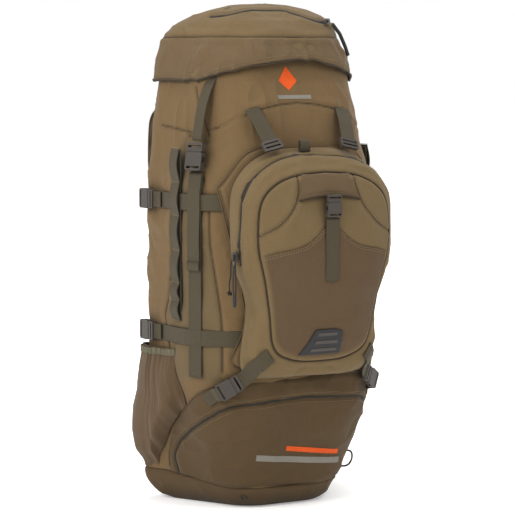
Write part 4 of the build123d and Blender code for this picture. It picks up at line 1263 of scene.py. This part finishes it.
def on_panel(points):
    """Points of the daypack's front at places across and heights."""
    turns = np.linspace(0, 2 * np.pi, DAY_AROUND + 1)
    closed = pipe_out[np.r_[0:DAY_AROUND, 0]]
    spots = []
    for px, pz in points:
        delta = np.array([px, pz]) - DAY_CENTRE
        turn = math.atan2(-delta[0], delta[1]) % (2 * math.pi)
        on_edge = [np.interp(turn, turns, closed[:, k]) for k in (0, 1)]
        edge = np.linalg.norm(np.array(on_edge) - DAY_CENTRE)
        s = min(1.0, np.linalg.norm(delta) / edge)
        spots.append([px, crown_y(s), pz])
    return thinner(np.array(spots))


panel_curve = curve_through(on_panel([(-50, 527), (-50, 512), (-55, 492), (-66, 473), (-87, 452), (-114, 437)]), 4)
half_edge = [(-114, 404), (-90, 411), (-62, 416), (-44, 422), (-26, 434), (-12, 446)]
stretch_edge = curve_through(on_panel(half_edge + [(-px, pz) for px, pz in half_edge[::-1]]), 4)
day.sew(panel_curve, depth=1.5, width=2.3, puff=0.9)
day.both = False
gap, _ = day.near(stretch_edge)
edge_z = np.interp(x, stretch_edge[:, 0], stretch_edge[:, 2])
stretch_zone = panel * (1 - ramp(z - edge_z, -0.8, 0.8))
day.out += 1.3 * stretch_zone
day.out -= 1.0 * np.exp(-((gap / 2.0) ** 2)) * panel
# painted shade: a dark line along the stretch cloth's top edge
day.seam = np.maximum(day.seam, 0.6 * np.exp(-(((z - edge_z - 1.2) / 1.1) ** 2)) * panel)
day.both = True
zip_seam = day.grid[DAY_FIRST + 11][np.r_[0:DAY_AROUND, 0]]
pipe_seam = day.grid[DAY_FIRST + PIPE_ROW][np.r_[0:DAY_AROUND, 0]]
day.sew(pipe_seam, depth=1.2, width=2.0, puff=0.9)
turn_order = [c for c in range(-DAY_AROUND // 2, DAY_AROUND // 2) if zip_seam[c % DAY_AROUND][2] > 392]
zip_line = np.array([zip_seam[c % DAY_AROUND] for c in turn_order])
day.both = False
day.sew(zip_line, depth=1.6, width=3.2, puff=1.4, dark=0.8)
day.patch = stretch_zone
day.build("daypack_body", "front", "daypack", ["daypack_shell", "daypack_front"], caps=(0, -1))
stitch_rows(day, zip_pieces("daypack_zip", day, zip_line, "daypack", "zip", "daypack_zip"), (8.0, -8.0), "daypack")
trim("daypack_piping", *day.lay(even(pipe_seam, 4), 0.5), 1.3, "piping", "daypack")
for line in (panel_curve, mirrored(panel_curve)):
    stitch_rows(day, day.lay(even(line, 3), 0.1), (3.0, -3.0), "daypack")
stitch_rows(day, day.lay(even(stretch_edge, 3), 0.1), (2.2, 5.4), "daypack", radius=0.5)

# hood flap over the buckle
rows, columns = 16, 34
grid = np.zeros((rows, columns, 3))
for i, v in enumerate(np.linspace(0, 1, rows)):
    for j, u in enumerate(np.linspace(-1, 1, columns)):
        low = 489 + 7 * (1 - u * u)
        height = low + (528 - low) * v
        width = 53 - 11 * v
        spot = on_panel([(u * width, height)])[0]
        lift = 1.2 + 3.0 * (1 - v) ** 1.5 * (1 - 0.6 * u * u)
        grid[i, j] = spot + (0, -lift - 1.0, 0)
hood = Skin(grid)
hood.mottle((30, 20, 20), 0.6, 40)
hood.sew(grid[2], depth=0.5, width=1.6, puff=0.3, dark=0.4)
hood.patch += 0.8
made = hood.build("hood_flap", "front", "daypack", ["daypack_hood"])
add_wall(made, 1.6)
stitch(hood, even(grid[2], 3), "daypack")
trim("hood_edge", grid[0], same((0, -1, 0), grid[0]), 1.5, "piping", "daypack", count=8)

# ribbed rubber patch at the foot of the stretch pocket
PATCH = [(-42, 252), (30, 252), (31, 286), (18, 291), (-18, 291)]


def plate(name, outline, lift, thick, material, rim=1.6, nodes=()):
    """Flat moulded plate following the daypack's front, its edge chamfered."""
    corners = np.array(outline, float)
    closed = even(np.vstack([corners, corners[:1]]), 2.5)[:-1]
    centre = closed.mean(0)
    levels = [(1.0, 0.0), (1.0, thick * 0.6), (1 - rim / 22, thick), (0.86, thick), (0.5, thick), (0.2, thick)]
    points = []
    for scale, height in levels:
        places, _ = seen_from_front(day, centre + (closed - centre) * scale)
        points.append(places + (0, -lift - height, 0))
    faces = grid_faces(len(levels), len(closed), True)
    last = (len(levels) - 1) * len(closed)
    faces.append(tuple(range(last, last + len(closed))))
    faces.append(tuple(range(len(closed)))[::-1])
    area = np.cross(closed - centre, np.roll(closed, -1, 0) - centre).sum()
    if area > 0:
        faces = [f[::-1] for f in faces]
    return piece(name, np.vstack(points), faces, material, "daypack", nodes, smooth=False)


plate("rubber_plate", PATCH, 0.4, 2.2, "rubber", nodes=("rubber_patch",))
for i, (left, right, height) in enumerate(((-16, 20, 284), (-20, 22, 272), (-26, 22, 260))):
    rib = [(left, height - 3.4), (right, height - 3.4), (right, height + 1.6), (left + 3, height + 1.6)]
    plate(f"rubber_rib_{i}", rib, 2.4, 1.1, "rib", rim=2.5)

# front strap
places = seen_from_front(day, [(0.0, z) for z in np.arange(366, 464, 3.0)])[0] + (0, -0.4, 0)
# it has to clear the cloth all the way down when it is let out
for i in range(len(places)):
    places[i, 1] = places[max(0, i - 8) : i + 1, 1].min()
places[-6:, 1] = np.linspace(places[-6, 1], -201.4, 6)
strap = strap_parts(places, same((0, -1, 0), places), 23, wave=0.2)
sewn_web("front_webbing", [strap], "front_strap_half", ["front_strap"])

# moulded puller on the daypack's zip: a long loop through the slider, and its grip
loop = [
    (-141.2, -150.8, 397), (-144.6, -151.4, 384), (-145.4, -151.8, 366), (-144.8, -152.0, 350), (-142.9, -152.0, 344),
    (-141.0, -151.8, 350), (-140.6, -151.6, 366), (-141.0, -151.2, 384), (-141.2, -150.8, 397),
]
loop = curve_through(loop, 2)
parts = [swept(loop, same((-0.4, -1, 0), loop), round_profile(1.1, 8))]
grip = np.array([(-143.0, -151.9, z) for z in np.arange(346, 328, -1.5)])
shape = round_profile(1.0, 12) * (1.0, 0.8)
widths = np.array([2.2, 2.8, 3.0, 2.7, 3.0, 2.7, 3.0, 2.7, 3.0, 2.7, 2.6, 1.9])
parts.append(swept(grip, same((-0.4, -1, 0), grip), shape[None] * widths[:, None, None]))
joined_piece("daypack_puller", parts, "rubber", "daypack_zip_slider", ["daypack_pull"])

# grab tab on the daypack's top
turns = np.linspace(-0.5 * np.pi, 1.5 * np.pi, 30)
loop = np.array([[-14, -140 + 2.6 * math.cos(a), 569 + 8.5 * math.sin(a)] for a in turns])
loop_outs = np.array([[0, math.cos(a), math.sin(a)] for a in turns])
sewn_web("grab_loop", [swept(loop, loop_outs, tape_profile(18, 1.6))], "daypack", ["grab_tab"])

# ---------------------------------------------------------------- wings
WING = [(70, 567), (100, 555), (138, 505), (127, 447), (108, 347), (104, 297), (122, 246), (117, 233)]
wing_edge = np.vstack([curve_through(WING[:3], 3), curve_through(WING[2:], 3)[1:]])
for side_name, side in SIDES.items():
    rows = 110
    columns = 34
    grid = np.zeros((rows, columns, 3))
    heights = np.linspace(233, 566, rows)
    reach = np.interp(heights, wing_edge[::-1, 1], wing_edge[::-1, 0])
    for i, (height, far) in enumerate(zip(heights, reach)):
        for j, u in enumerate(np.linspace(1, 0, columns)):
            across = 40 + (far - 40) * u
            spot = on_front(-across, height)
            middle = np.array([-CORNER_X, CORNER_Y, height])
            out = (spot - middle) if across > CORNER_X else np.array([0, -1.0, 0])
            out = out / np.linalg.norm(out)
            slack = 4.6 + 1.2 * math.sin(math.pi * min(1, (1 - u) * 2))
            grid[i, j] = spot + out * (slack if u < 0.93 else 4.6 * (1 - (u - 0.93) / 0.07 * 0.15))
    wing = Skin(*on_hand(side, grid), both=False)
    wing.mottle((40, 40, 60), 0.7, 50 + side)
    wing.creases((30, 30, 46), 0.55, 52 + side)
    wing.sew(wing.grid[:, 1], depth=0.5, width=2, puff=0.6, dark=0.5)
    nodes = once(side, "daypack_wings")
    made = wing.build(f"daypack_wing_{side_name}", "bag", "daypack", nodes, turn=side > 0)
    add_wall(made, 1.6)
    rim = grid[:, 0]
    outs = unit((rim - (-CORNER_X, CORNER_Y, 0)) * (1, 1, 0))
    trim(f"wing_piping_{side_name}", *on_hand(side, rim, outs), 1.2, "piping light", "daypack")
    stitch(wing, even(wing.grid[:, 3], 3), "daypack")

# ---------------------------------------------------------------- lid straps and anchors
def strap_spots(side, spots):
    """Points over a lid strap's line from (distance off the bag's upright face, height), and the way out."""
    out = np.array([side * math.sin(STRAP_TURN[side]), -math.cos(STRAP_TURN[side]), 0])
    axis = np.array([side * CORNER_X, STRAP_AXIS_Y[side], 0])
    places = [
        axis + out * (FRONT_R + r - max(0.0, h - LEAN_FROM) * math.tan(LEAN)) + (0, 0, h) for r, h in spots
    ]
    return np.array(places), same(out + (0, 0, 0.01), places)


# distance out from each strap's axis where it turns in under the lid's hem, by height
STRAP_TOP = {-1: ((45, 686), (56, 669), (68, 651)), 1: ((57.5, 686), (63, 669), (70, 651))}
for side_name, side in SIDES.items():
    top = [(r - FRONT_R + (h - LEAN_FROM) * math.tan(LEAN), h) for r, h in STRAP_TOP[side]]
    path, outs = strap_spots(side, top + [(6.4, 628), (8.9, 604), (9.3, 577)])
    path = curve_through(path, 4)
    strap = strap_parts(path, same(outs[0] + (0, 0, 0.2), path), 18, wave=0.5, seed=side)
    sewn_web(f"lid_webbing_{side_name}", [strap], "lid", once(side, "lid_straps"))
webs = []
for side in (-1, 1):
    for spots, width, wave in (
        ([(1.3, h) for h in np.arange(STRAP_LOW[side], 531, 4.0)], 25, 0.3),
        ([(4.6 + 0.8 * math.sin((h - 380) / 24), h) for h in np.arange(380, 530, 4.0)], 24, 0.4),
        ([(7.0, 392), (7.1, 384), (6.3, 380), (5.0, 379.4)], 24, 0.0),
    ):
        webs.append(strap_parts(*strap_spots(side, spots), width, wave=wave, seed=side + width))
sewn_web("lid_strap_webbing", webs, "root", ["lid_strap_anchors"])

# ---------------------------------------------------------------- daypack top straps
webs = []
for side in (-1, 1):
    low, high = np.array([side * 71, -128, 581.0]), np.array([side * 79.4, -97, 621.0])
    along = unit(high - low)
    out = np.cross(np.cross(along, (0, 1.0, 0)), along)
    out *= -np.sign(out[1])
    path = curve_through([low - along * 9, low, (low + high) / 2 + out * 2.2, high, high + along * 5], 3)
    webs.append(strap_parts(path, same(out, path), 25, wave=0.2, seed=side))
sewn_web("daypack_top_webbing", webs, "root", ["top_straps"])

# webbing sewn on the daypack's foot corners, down to the lower buckles, and the tabs that
# hold their sockets to the boot
webs = []
tabs = []
for side in (-1, 1):
    flip = (-side, 1, 1)
    face = np.array([side * 0.5, -0.866, 0])
    path, outs = day.lay(curve_through([(-84, -158, 254), (-91, -151, 248), (-99, -140, 237)], 3) * flip, 0.4)
    path = path[:: max(1, len(path) // 5)].tolist()
    path = curve_through(path + [(side * 107.5, -122, 217), (side * 115.5, -116.3, 209.5)], 3)
    middle = np.array([side * CORNER_X, CORNER_Y - 18, 0])
    outs = unit((path - middle) * (1, 1, 0))
    near = np.linspace(0, 1, len(path))[:, None] ** 3
    webs.append(strap_parts(path, outs * (1 - near) + face * near, 24, wave=0.2, seed=side + 11))
    seat, seat_outs = boot.lay(np.array([(-148, -88, 184), (-150, -79, 179), (-152, -70, 174)]) * flip, 1.0)
    path = curve_through([(side * 137, -103, 194.6), (side * 143, -98.5, 190.4)] + seat.tolist(), 3)
    near = np.linspace(1, 0, len(path))[:, None]
    tabs.append(strap_parts(path, seat_outs[-1] * (1 - near) + face * near, 22, wave=0.1, seed=side + 17))
sewn_web("lower_socket_webbing", tabs, "root")
sewn_web("daypack_foot_webbing", webs, "daypack")


# ---------------------------------------------------------------- harness
def pad_grid(path, outs, widths, thick, around=64, edge=0.42, crown=0.75, ends=26.0):
    """Crowned pad along a path: full in the middle, pinched to its edge, its ends rounded."""
    path = even(path, 4)
    tangents = tangents_of(path)
    across = unit(np.cross(tangents, resampled(outs, len(path))))
    up = np.cross(across, tangents)
    along = np.linspace(0, 1, len(path))
    half = np.interp(along, np.linspace(0, 1, len(widths)), widths) / 2
    length = np.linalg.norm(np.diff(path, axis=0), axis=1).sum()
    gap = np.minimum(along, 1 - along) * length
    rounding = np.sqrt(np.clip(1 - (1 - np.clip(gap / ends, 0, 1)) ** 2, 0.004, 1))
    turns = np.linspace(0, 2 * np.pi, around, endpoint=False)
    cos, sin = np.cos(turns), np.sin(turns)
    flat = np.sign(cos) * np.abs(cos) ** edge
    round_off = np.sign(sin) * np.abs(sin) ** crown
    wide = half[:, None] * (1 - (1 - rounding[:, None]) * 0.5) * flat
    high = thick / 2 * rounding[:, None] ** 0.7 * round_off
    return path[:, None] + across[:, None] * wide[..., None] + up[:, None] * high[..., None], path, up


def edge_binding(name, grid, body, radius=2.0):
    """Binding round the edge of a pad."""
    line = even(np.vstack([grid[:, 0], grid[::-1, grid.shape[1] // 2], grid[:1, 0]]), 4)
    tangents = tangents_of(line)
    outs = same((0, 1, 0), line)
    outs -= tangents * (outs * tangents).sum(1, keepdims=True)
    trim(name, line, outs, radius, "binding", body, count=8)


def inner_face(grid, path, up):
    """1 on the face of a pad that lies on the wearer, 0 on the other."""
    return (((grid - path[:, None]) * up[:, None]).sum(2) < -0.5) * 1.0


def side_turn(path):
    """Way out of a strap that runs up the back, for each point."""
    return unit(np.cross(np.gradient(path, axis=0), (-1.0, 0, 0)))


def across_at(path, up, i):
    """Unit direction across a pad at one of its points."""
    return unit(np.cross(np.gradient(path, axis=0)[i], up[i]))


CLOTH_FRAMES = 14
CLOTH = {
    "quality": 5, "mass": 0.2, "tension_stiffness": 8, "compression_stiffness": 6, "bending_stiffness": 0.4,
    "use_pressure": True,
}


def settled(thing, pressure, cap):
    """Cloth blown up a little from inside, then fixed as the mesh, so that a pad wrinkles between
    its seams."""
    rest = np.empty(len(thing.data.vertices) * 3)
    thing.data.vertices.foreach_get("co", rest)
    soft = thing.modifiers.new("cloth", "CLOTH")
    for key, value in CLOTH.items():
        setattr(soft.settings, key, value)
    soft.settings.effector_weights.gravity = 0
    soft.settings.uniform_pressure_force = pressure
    soft.point_cache.frame_start = 1
    soft.point_cache.frame_end = CLOTH_FRAMES
    scene = bpy.context.scene
    for step in range(1, CLOTH_FRAMES + 1):
        scene.frame_set(step)
    graph = bpy.context.evaluated_depsgraph_get()
    done = thing.evaluated_get(graph)
    moved = np.empty(len(done.data.vertices) * 3)
    done.data.vertices.foreach_get("co", moved)
    thing.modifiers.remove(soft)
    scene.frame_set(1)
    shift = (moved - rest).reshape(-1, 3)
    size = np.linalg.norm(shift, axis=1, keepdims=True)
    shift *= np.minimum(1, cap * MM / np.maximum(size, 1e-9))
    thing.data.vertices.foreach_set("co", (rest.reshape(-1, 3) + shift).ravel())
    thing.data.update()


for side_name, side in SIDES.items():
    spine = curve_through(
        [
            (side * 89, 131, 598), (side * 89, 141, 618), (side * 89, 158, 617), (side * 90, 169, 600),
            (side * 90.5, 170.5, 560), (side * 91, 165.5, 505), (side * 90.5, 160, 447), (side * 90, 149, 395),
            (side * 89, 140.5, 350),
        ],
        4,
    )
    body = f"strap_{side_name}"
    grid, path, up = pad_grid(spine, side_turn(spine), (50, 60, 64, 62, 58, 52), 13)
    pad = Skin(grid, wraps=True, both=False)
    pad.mottle((30, 30, 40), 0.5, 60 + side)
    pad.creases((26, 26, 18), 0.4, 62 + side)
    count = len(path)
    for share in (0.30, 0.42, 0.54, 0.66, 0.78, 0.90):
        i = int(share * count)
        cross = across_at(path, up, i)
        for face in (1, -1):
            middle = path[i] + up[i] * 6.5 * face
            pad.sew(np.array([middle - cross * 24, middle + cross * 24]), depth=1.1, width=2.4, puff=0.6, dark=0.45)
    pad.patch = inner_face(grid, path, up)
    nodes = [f"shoulder_strap_{side_name}"]
    made = pad.build(f"shoulder_pad_{side_name}", "harness", body, nodes, caps=(0, -1))
    settled(made, 1.2, 2.2)
    edge_binding(f"shoulder_pad_binding_{side_name}", grid, body)
    # strip of webbing sewn down the middle of the pad's outer face, with bar tacks
    kept = slice(int(0.16 * count), int(0.97 * count))
    strip_up = up[kept]
    strip = path[kept] + strip_up * 6.9
    sewn_web(f"shoulder_pad_webbing_{side_name}", [strap_parts(strip, strip_up, 25, wave=0.15, seed=64)], body)
    tacks = []
    for share in (0.06, 0.2, 0.34, 0.48, 0.62, 0.76, 0.92):
        i = int(share * (len(strip) - 1))
        cross = across_at(strip, strip_up, i)
        line = np.array([strip[i] - cross * 11.5, strip[i], strip[i] + cross * 11.5]) + strip_up[i] * 2.0
        tacks += stitch_parts(line, same(strip_up[i], line), pitch=1.5, length=2.4, radius=0.5)
    joined_piece(f"shoulder_pad_tacks_{side_name}", tacks, "thread dark", body, smooth=False)


def flat_pad(name, corners, thick, nodes, seams=(), material="harness", rows=44, columns=40):
    """Pad on the back panel from its outline by height, flat where it lies, crowned where it's leant on."""
    heights, lefts, rights = np.array(corners, float).T
    z = np.linspace(heights[0], heights[-1], rows)
    left = np.interp(z, heights, lefts)
    right = np.interp(z, heights, rights)
    u = np.linspace(-1, 1, columns)
    front, back = [], []
    for i, h in enumerate(z):
        v = 2 * i / (rows - 1) - 1
        rise = (1 - abs(u) ** 4) * (1 - abs(v) ** 6)
        x = (left[i] + right[i]) / 2 + (right[i] - left[i]) / 2 * u
        front.append(np.stack([x, BACK_Y + 1.6 + (thick - 1.6) * rise**0.6, np.full(columns, h)], axis=1))
        back.append(np.stack([x[::-1], np.full(columns, BACK_Y + 0.2), np.full(columns, h)], axis=1))
    grid = np.concatenate([np.stack(front), np.stack(back)], axis=1)
    pad = Skin(grid, wraps=True, both=False)
    outer = np.concatenate([np.ones((rows, columns)), np.zeros((rows, columns))], axis=1)
    pad.mottle((34, 34, 34), 0.7, 70, outer)
    for line in seams:
        pad.sew(np.array(line, float), depth=2.2, width=3.4, puff=0.9, dark=0.5)
    pad.out *= outer
    made = pad.build(name, material, "root", nodes, caps=(0, -1))
    settled(made, 1.0, 1.8)
    rim = np.vstack([grid[:, 0], grid[-1, :columns], grid[::-1, columns - 1], grid[0, :columns][::-1]])
    rim = even(rim + (0, -0.4, 0), 4)
    trim(name + "_binding", rim, same((0, 1, 0), rim), 1.8, "binding", "root", count=8)


def rounded(x_low, x_high, z_low, z_high, corner, steps=7):
    """Outline of a rounded rectangle as (height, left, right)."""
    rows = []
    for k in range(steps + 1):
        a = math.pi / 2 * k / steps
        inset = corner * (1 - math.sin(a))
        rows.append((z_low + corner * (1 - math.cos(a)), x_low + inset, x_high - inset))
    return rows + [(z_low + z_high - h, left, right) for h, left, right in rows[::-1]]


for side_name, side in SIDES.items():
    low, high = sorted((side * 15, side * 89))
    middle = (low + high) / 2
    seams = []
    for h in (362, 412, 462, 508):
        seams.append([(low + 6, BACK_Y + 8, h), (middle, BACK_Y + 10, h + 6), (high - 6, BACK_Y + 8, h)])
    outline = rounded(low, high, 312, 552, 22)
    flat_pad(f"back_pad_{side_name}", outline, 10, once(side, "back_pads"), seams, "mesh")
seams = [[(-70, BACK_Y + 17, h), (0, BACK_Y + 18, h - 5), (70, BACK_Y + 17, h)] for h in (218, 256)]
flat_pad("lumbar_cushion", rounded(-88, 88, 180, 298, 24), 18, ["lumbar_pad"], seams, "mesh")
flat_pad("yoke_pad", rounded(-125, 125, 562, 617, 12), 4.6, ["shoulder_yoke"])

WING_PATH = [(98, 133), (102, 156), (95, 184), (82, 206), (64, 221)]
for side_name, side in SIDES.items():
    plan = curve_through([(side * x, y, BELT_HEIGHT) for x, y in WING_PATH], 4)
    body = f"wing_{side_name}"
    grid, path, up = pad_grid(plan, front_turn(plan, side), (92, 92, 84, 70, 56), 13, edge=0.36, ends=16)
    wing_pad = Skin(grid, wraps=True, both=False)
    wing_pad.mottle((30, 30, 30), 0.5, 80 + side)
    for h in (-20, 0, 20):
        for face in (1, -1):
            line = path[3:-5] + up[3:-5] * 6.4 * face + (0, 0, h) * np.linspace(1, 0.7, len(path) - 8)[:, None]
            wing_pad.sew(line, depth=1.2, width=2.6, puff=0.5, dark=0.4)
    wing_pad.patch = inner_face(grid, path, up)
    nodes = [f"belt_wing_{side_name}"]
    made = wing_pad.build(f"belt_pad_{side_name}", "harness", body, nodes, caps=(0, -1))
    settled(made, 1.2, 2.0)
    edge_binding(f"belt_pad_binding_{side_name}", grid, body)
    strip = path[4:] + up[4:] * 7.2
    belt = np.vstack([strip, [(side * 54, strip[-1][1] + 3.5, BELT_HEIGHT), (side * 44, 229.5, BELT_HEIGHT)]])
    belt = curve_through(belt[:: max(1, len(belt) // 8)].tolist() + [belt[-1].tolist()], 4)
    strap = strap_parts(belt, front_turn(belt, side), 38, wave=0.2, seed=82)
    sewn_web(f"belt_webbing_{side_name}", [strap], body, [f"belt_web_{side_name}"])

# ---------------------------------------------------------------- harness webbing
YOKE_FACE = BACK_Y + 4.3
for side_name, side in SIDES.items():
    lower = [(side * 105, y, z) for y, z in ((141, 352), (138.6, 335), (131, 289), (120.9, 239), (119.2, 226))]
    lifter = [(side * 90, y, z) for y, z in ((113.4, 658), (122, 654), (134, 647), (150, 636), (158, 628))]
    lower, lifter = curve_through(lower, 4), curve_through(lifter, 4)
    low_strap = strap_parts(lower, side_turn(lower), 20, wave=0.3, seed=90)
    high_strap = strap_parts(lifter, side_turn(lifter), 20, wave=0.3, seed=91)
    low_piece = sewn_web(f"lower_webbing_{side_name}", [low_strap], None, [f"shoulder_webs_{side_name}"])
    high_piece = sewn_web(f"lifter_webbing_{side_name}", [high_strap], None)
    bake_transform(low_piece)
    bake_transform(high_piece)
half_grip = [
    (x, y, HAUL_HEIGHT)
    for x, y in ((-56, YOKE_FACE + 1.2), (-51, YOKE_FACE + 4), (-44, 138), (-30, 140.2))
]
grip = curve_through(half_grip + [(0, 140.6, HAUL_HEIGHT)] + mirrored(half_grip[::-1]).tolist(), 3)
sewn_web("haul_webbing", [strap_parts(grip, front_turn(grip, -1), 25, wave=0.2, seed=95)], "root", ["haul_loop"])

# ---------------------------------------------------------------- cords
def cord_curve(name, route, diameter, body, node):
    """A cord as a smooth round curve along its route."""
    curve = bpy.data.curves.new(name, "CURVE")
    curve.dimensions = "3D"
    curve.bevel_depth = diameter / 2 * MM
    curve.bevel_resolution = 5
    curve.resolution_u = 16
    spline = curve.splines.new("NURBS")
    spline.points.add(len(route) - 1)
    for point, spot in zip(spline.points, route):
        point.co = (spot[0] * MM, spot[1] * MM, spot[2] * MM, 1)
    spline.order_u = 3
    spline.use_endpoint_u = True
    curve.use_fill_caps = True
    curve.materials.append(M["cord"])
    thing = bpy.data.objects.new(name, curve)
    bpy.context.collection.objects.link(thing)
    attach(thing, body)
    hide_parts(node)
    return thing


TOOL_LOOP = [
    (117.8, -48.1, 73), (123.8, -51.5, 75), (128.5, -54.7, 68.5), (127.1, -53.1, 56), (120.4, -48.6, 47),
    (112.6, -44.0, 48.5),
]
PULL_ROUTE = [(-145.8, -147.5, 400), (-147, -147, 390), (-146, -146, 377), (-149, -145, 364), (-147.5, -144.5, 353)]
tool_cord = cord_curve("tool_loop", TOOL_LOOP, 3.0, "root", "tool_loop_cord")
pull = cord_curve("zip_pull_cord", PULL_ROUTE, 2.0, "daypack_zip_slider", "pull_cord")
t = np.linspace(0, 2 * math.pi, 60)
spread = 2.4 * (1 + 0.25 * np.cos(3 * t))
knot_line = np.stack([spread * np.cos(2 * t), spread * np.sin(2 * t), -3 + 2.2 * np.sin(3 * t)], axis=1)
knot_line += PULL_ROUTE[-1]
knot_parts = [swept(knot_line, same((0.2, 0.1, 1), knot_line), round_profile(1.0, 8))]
knot = joined_piece("pull_knot", knot_parts, "cord", "daypack_zip_slider")

# ---------------------------------------------------------------- stitching
for body, parts in stitching.items():
    joined_piece(f"stitching_{body}", parts, "thread", body, smooth=False)

# ---------------------------------------------------------------- hardware kept as it is
KEPT = {
    "buckle": (
        "bag_sockets", "lid_plugs", "upper_plug_left", "upper_plug_right", "lower_plug_left", "lower_plug_right",
        "lower_plugs", "ladder_locks", "front_socket", "front_plug", "belt_plug", "belt_socket", "sternum_plug",
        "sternum_socket",
    ),
    "metal": ("lid_slider", "daypack_slider", "bottom_slider"),
    "cord": ("lid_pull",),
    "web plain": ("sternum_web_left", "sternum_web_right"),
    "sheet": ("frame_sheet",),
    "alloy": ("frame_stays",),
}
for material, names in KEPT.items():
    for name in names:
        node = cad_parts[name]
        node.data.materials.clear()
        node.data.materials.append(M[material])
        if material in ("buckle", "metal"):
            bevel = node.modifiers.new("soft edges", "BEVEL")
            bevel.width = 0.45 * MM
            bevel.segments = 2
            bevel.limit_method = "ANGLE"
            bevel.angle_limit = math.radians(40)


# ---------------------------------------------------------------- floor, light and camera
def stage_material():
    n = Nodes("stage_floor")
    tone = n.mix(n.noise("Object", 1.2, 2), srgb(244, 243, 241), srgb(238, 237, 235))
    n.link(tone, n.shader.inputs["Base Color"])
    n.shader.inputs["Roughness"].default_value = 0.9
    n.shader.inputs["Emission Color"].default_value = (1, 1, 1, 1)
    # painted light: the floor glows, faintly next to the pack so that its shadow stays, and more away from it, so that
    # the paper burns out to white
    away = n.new("VectorMath", operation="LENGTH")
    n.link(n.coordinates.outputs["Object"], away.inputs[0])
    glow = n.new("MapRange", **{"From Min": 0.4, "From Max": 3.0, "To Min": 0.3, "To Max": 1.0})
    n.link(away.outputs["Value"], glow.inputs["Value"])
    n.link(glow.outputs["Result"], n.shader.inputs["Emission Strength"])
    return n.material


floor_mesh = bpy.data.meshes.new("floor")
floor_mesh.from_pydata([(-9, -9, 0), (9, -9, 0), (9, 9, 0), (-9, 9, 0)], [], [(0, 1, 2, 3)])
floor_mesh.materials.append(stage_material())
floor = bpy.data.objects.new("floor", floor_mesh)
bpy.context.collection.objects.link(floor)

world = bpy.data.worlds.new("studio")
world.use_nodes = True
sky = world.node_tree.nodes["Background"]
sky.inputs["Color"].default_value = (1.0, 1.0, 1.0, 1)
# the white paper behind is brighter than the soft light that comes off it
seen = world.node_tree.nodes.new("ShaderNodeLightPath")
level = world.node_tree.nodes.new("ShaderNodeMapRange")
level.inputs["To Min"].default_value = 0.5
level.inputs["To Max"].default_value = 1.0
world.node_tree.links.new(seen.outputs["Is Camera Ray"], level.inputs["Value"])
world.node_tree.links.new(level.outputs["Result"], sky.inputs["Strength"])
bpy.context.scene.world = world
bpy.context.scene.view_settings.view_transform = "Standard"


def area_light(name, place, aim, size, power):
    data = bpy.data.lights.new(name, "AREA")
    data.shape = "RECTANGLE"
    data.size, data.size_y = size
    data.energy = power
    lamp = bpy.data.objects.new(name, data)
    lamp.location = place
    lamp.rotation_euler = (Vector(aim) - Vector(place)).to_track_quat("-Z", "Y").to_euler()
    bpy.context.collection.objects.link(lamp)


area_light("key_left", (-2.6, -0.6, 1.9), (0, 0, 0.42), (1.6, 1.6), 70)
area_light("fill_front", (0.5, -2.2, 2.5), (0, -0.1, 0.55), (1.6, 1.2), 30)
area_light("top", (0.3, 0.2, 2.8), (0, 0, 0.4), (2.0, 2.0), 48)
area_light("rim_right", (2.4, 1.2, 1.5), (0, 0, 0.45), (1.2, 1.8), 22)

# 30 degrees to the left of the front and 5 above the middle, 3.5 m away
AIM = Vector((0, 0, 0.387))
AZIMUTH = math.radians(-30)
ELEVATION = math.radians(5)
DISTANCE = 3.5
PICTURE = 515
FOCAL_PIXELS = 2200.0
SENSOR = 36
back = Vector(
    (math.cos(ELEVATION) * math.sin(AZIMUTH), -math.cos(ELEVATION) * math.cos(AZIMUTH), math.sin(ELEVATION))
)
camera_data = bpy.data.cameras.new("camera")
camera_data.sensor_width = SENSOR
camera_data.lens = FOCAL_PIXELS / PICTURE * SENSOR
camera_data.shift_x = -9 / PICTURE
camera_data.dof.use_dof = False
camera = bpy.data.objects.new("camera", camera_data)
camera.location = AIM + back * DISTANCE
camera.rotation_euler = back.to_track_quat("Z", "Y").to_euler()
bpy.context.collection.objects.link(camera)
bpy.context.scene.camera = camera
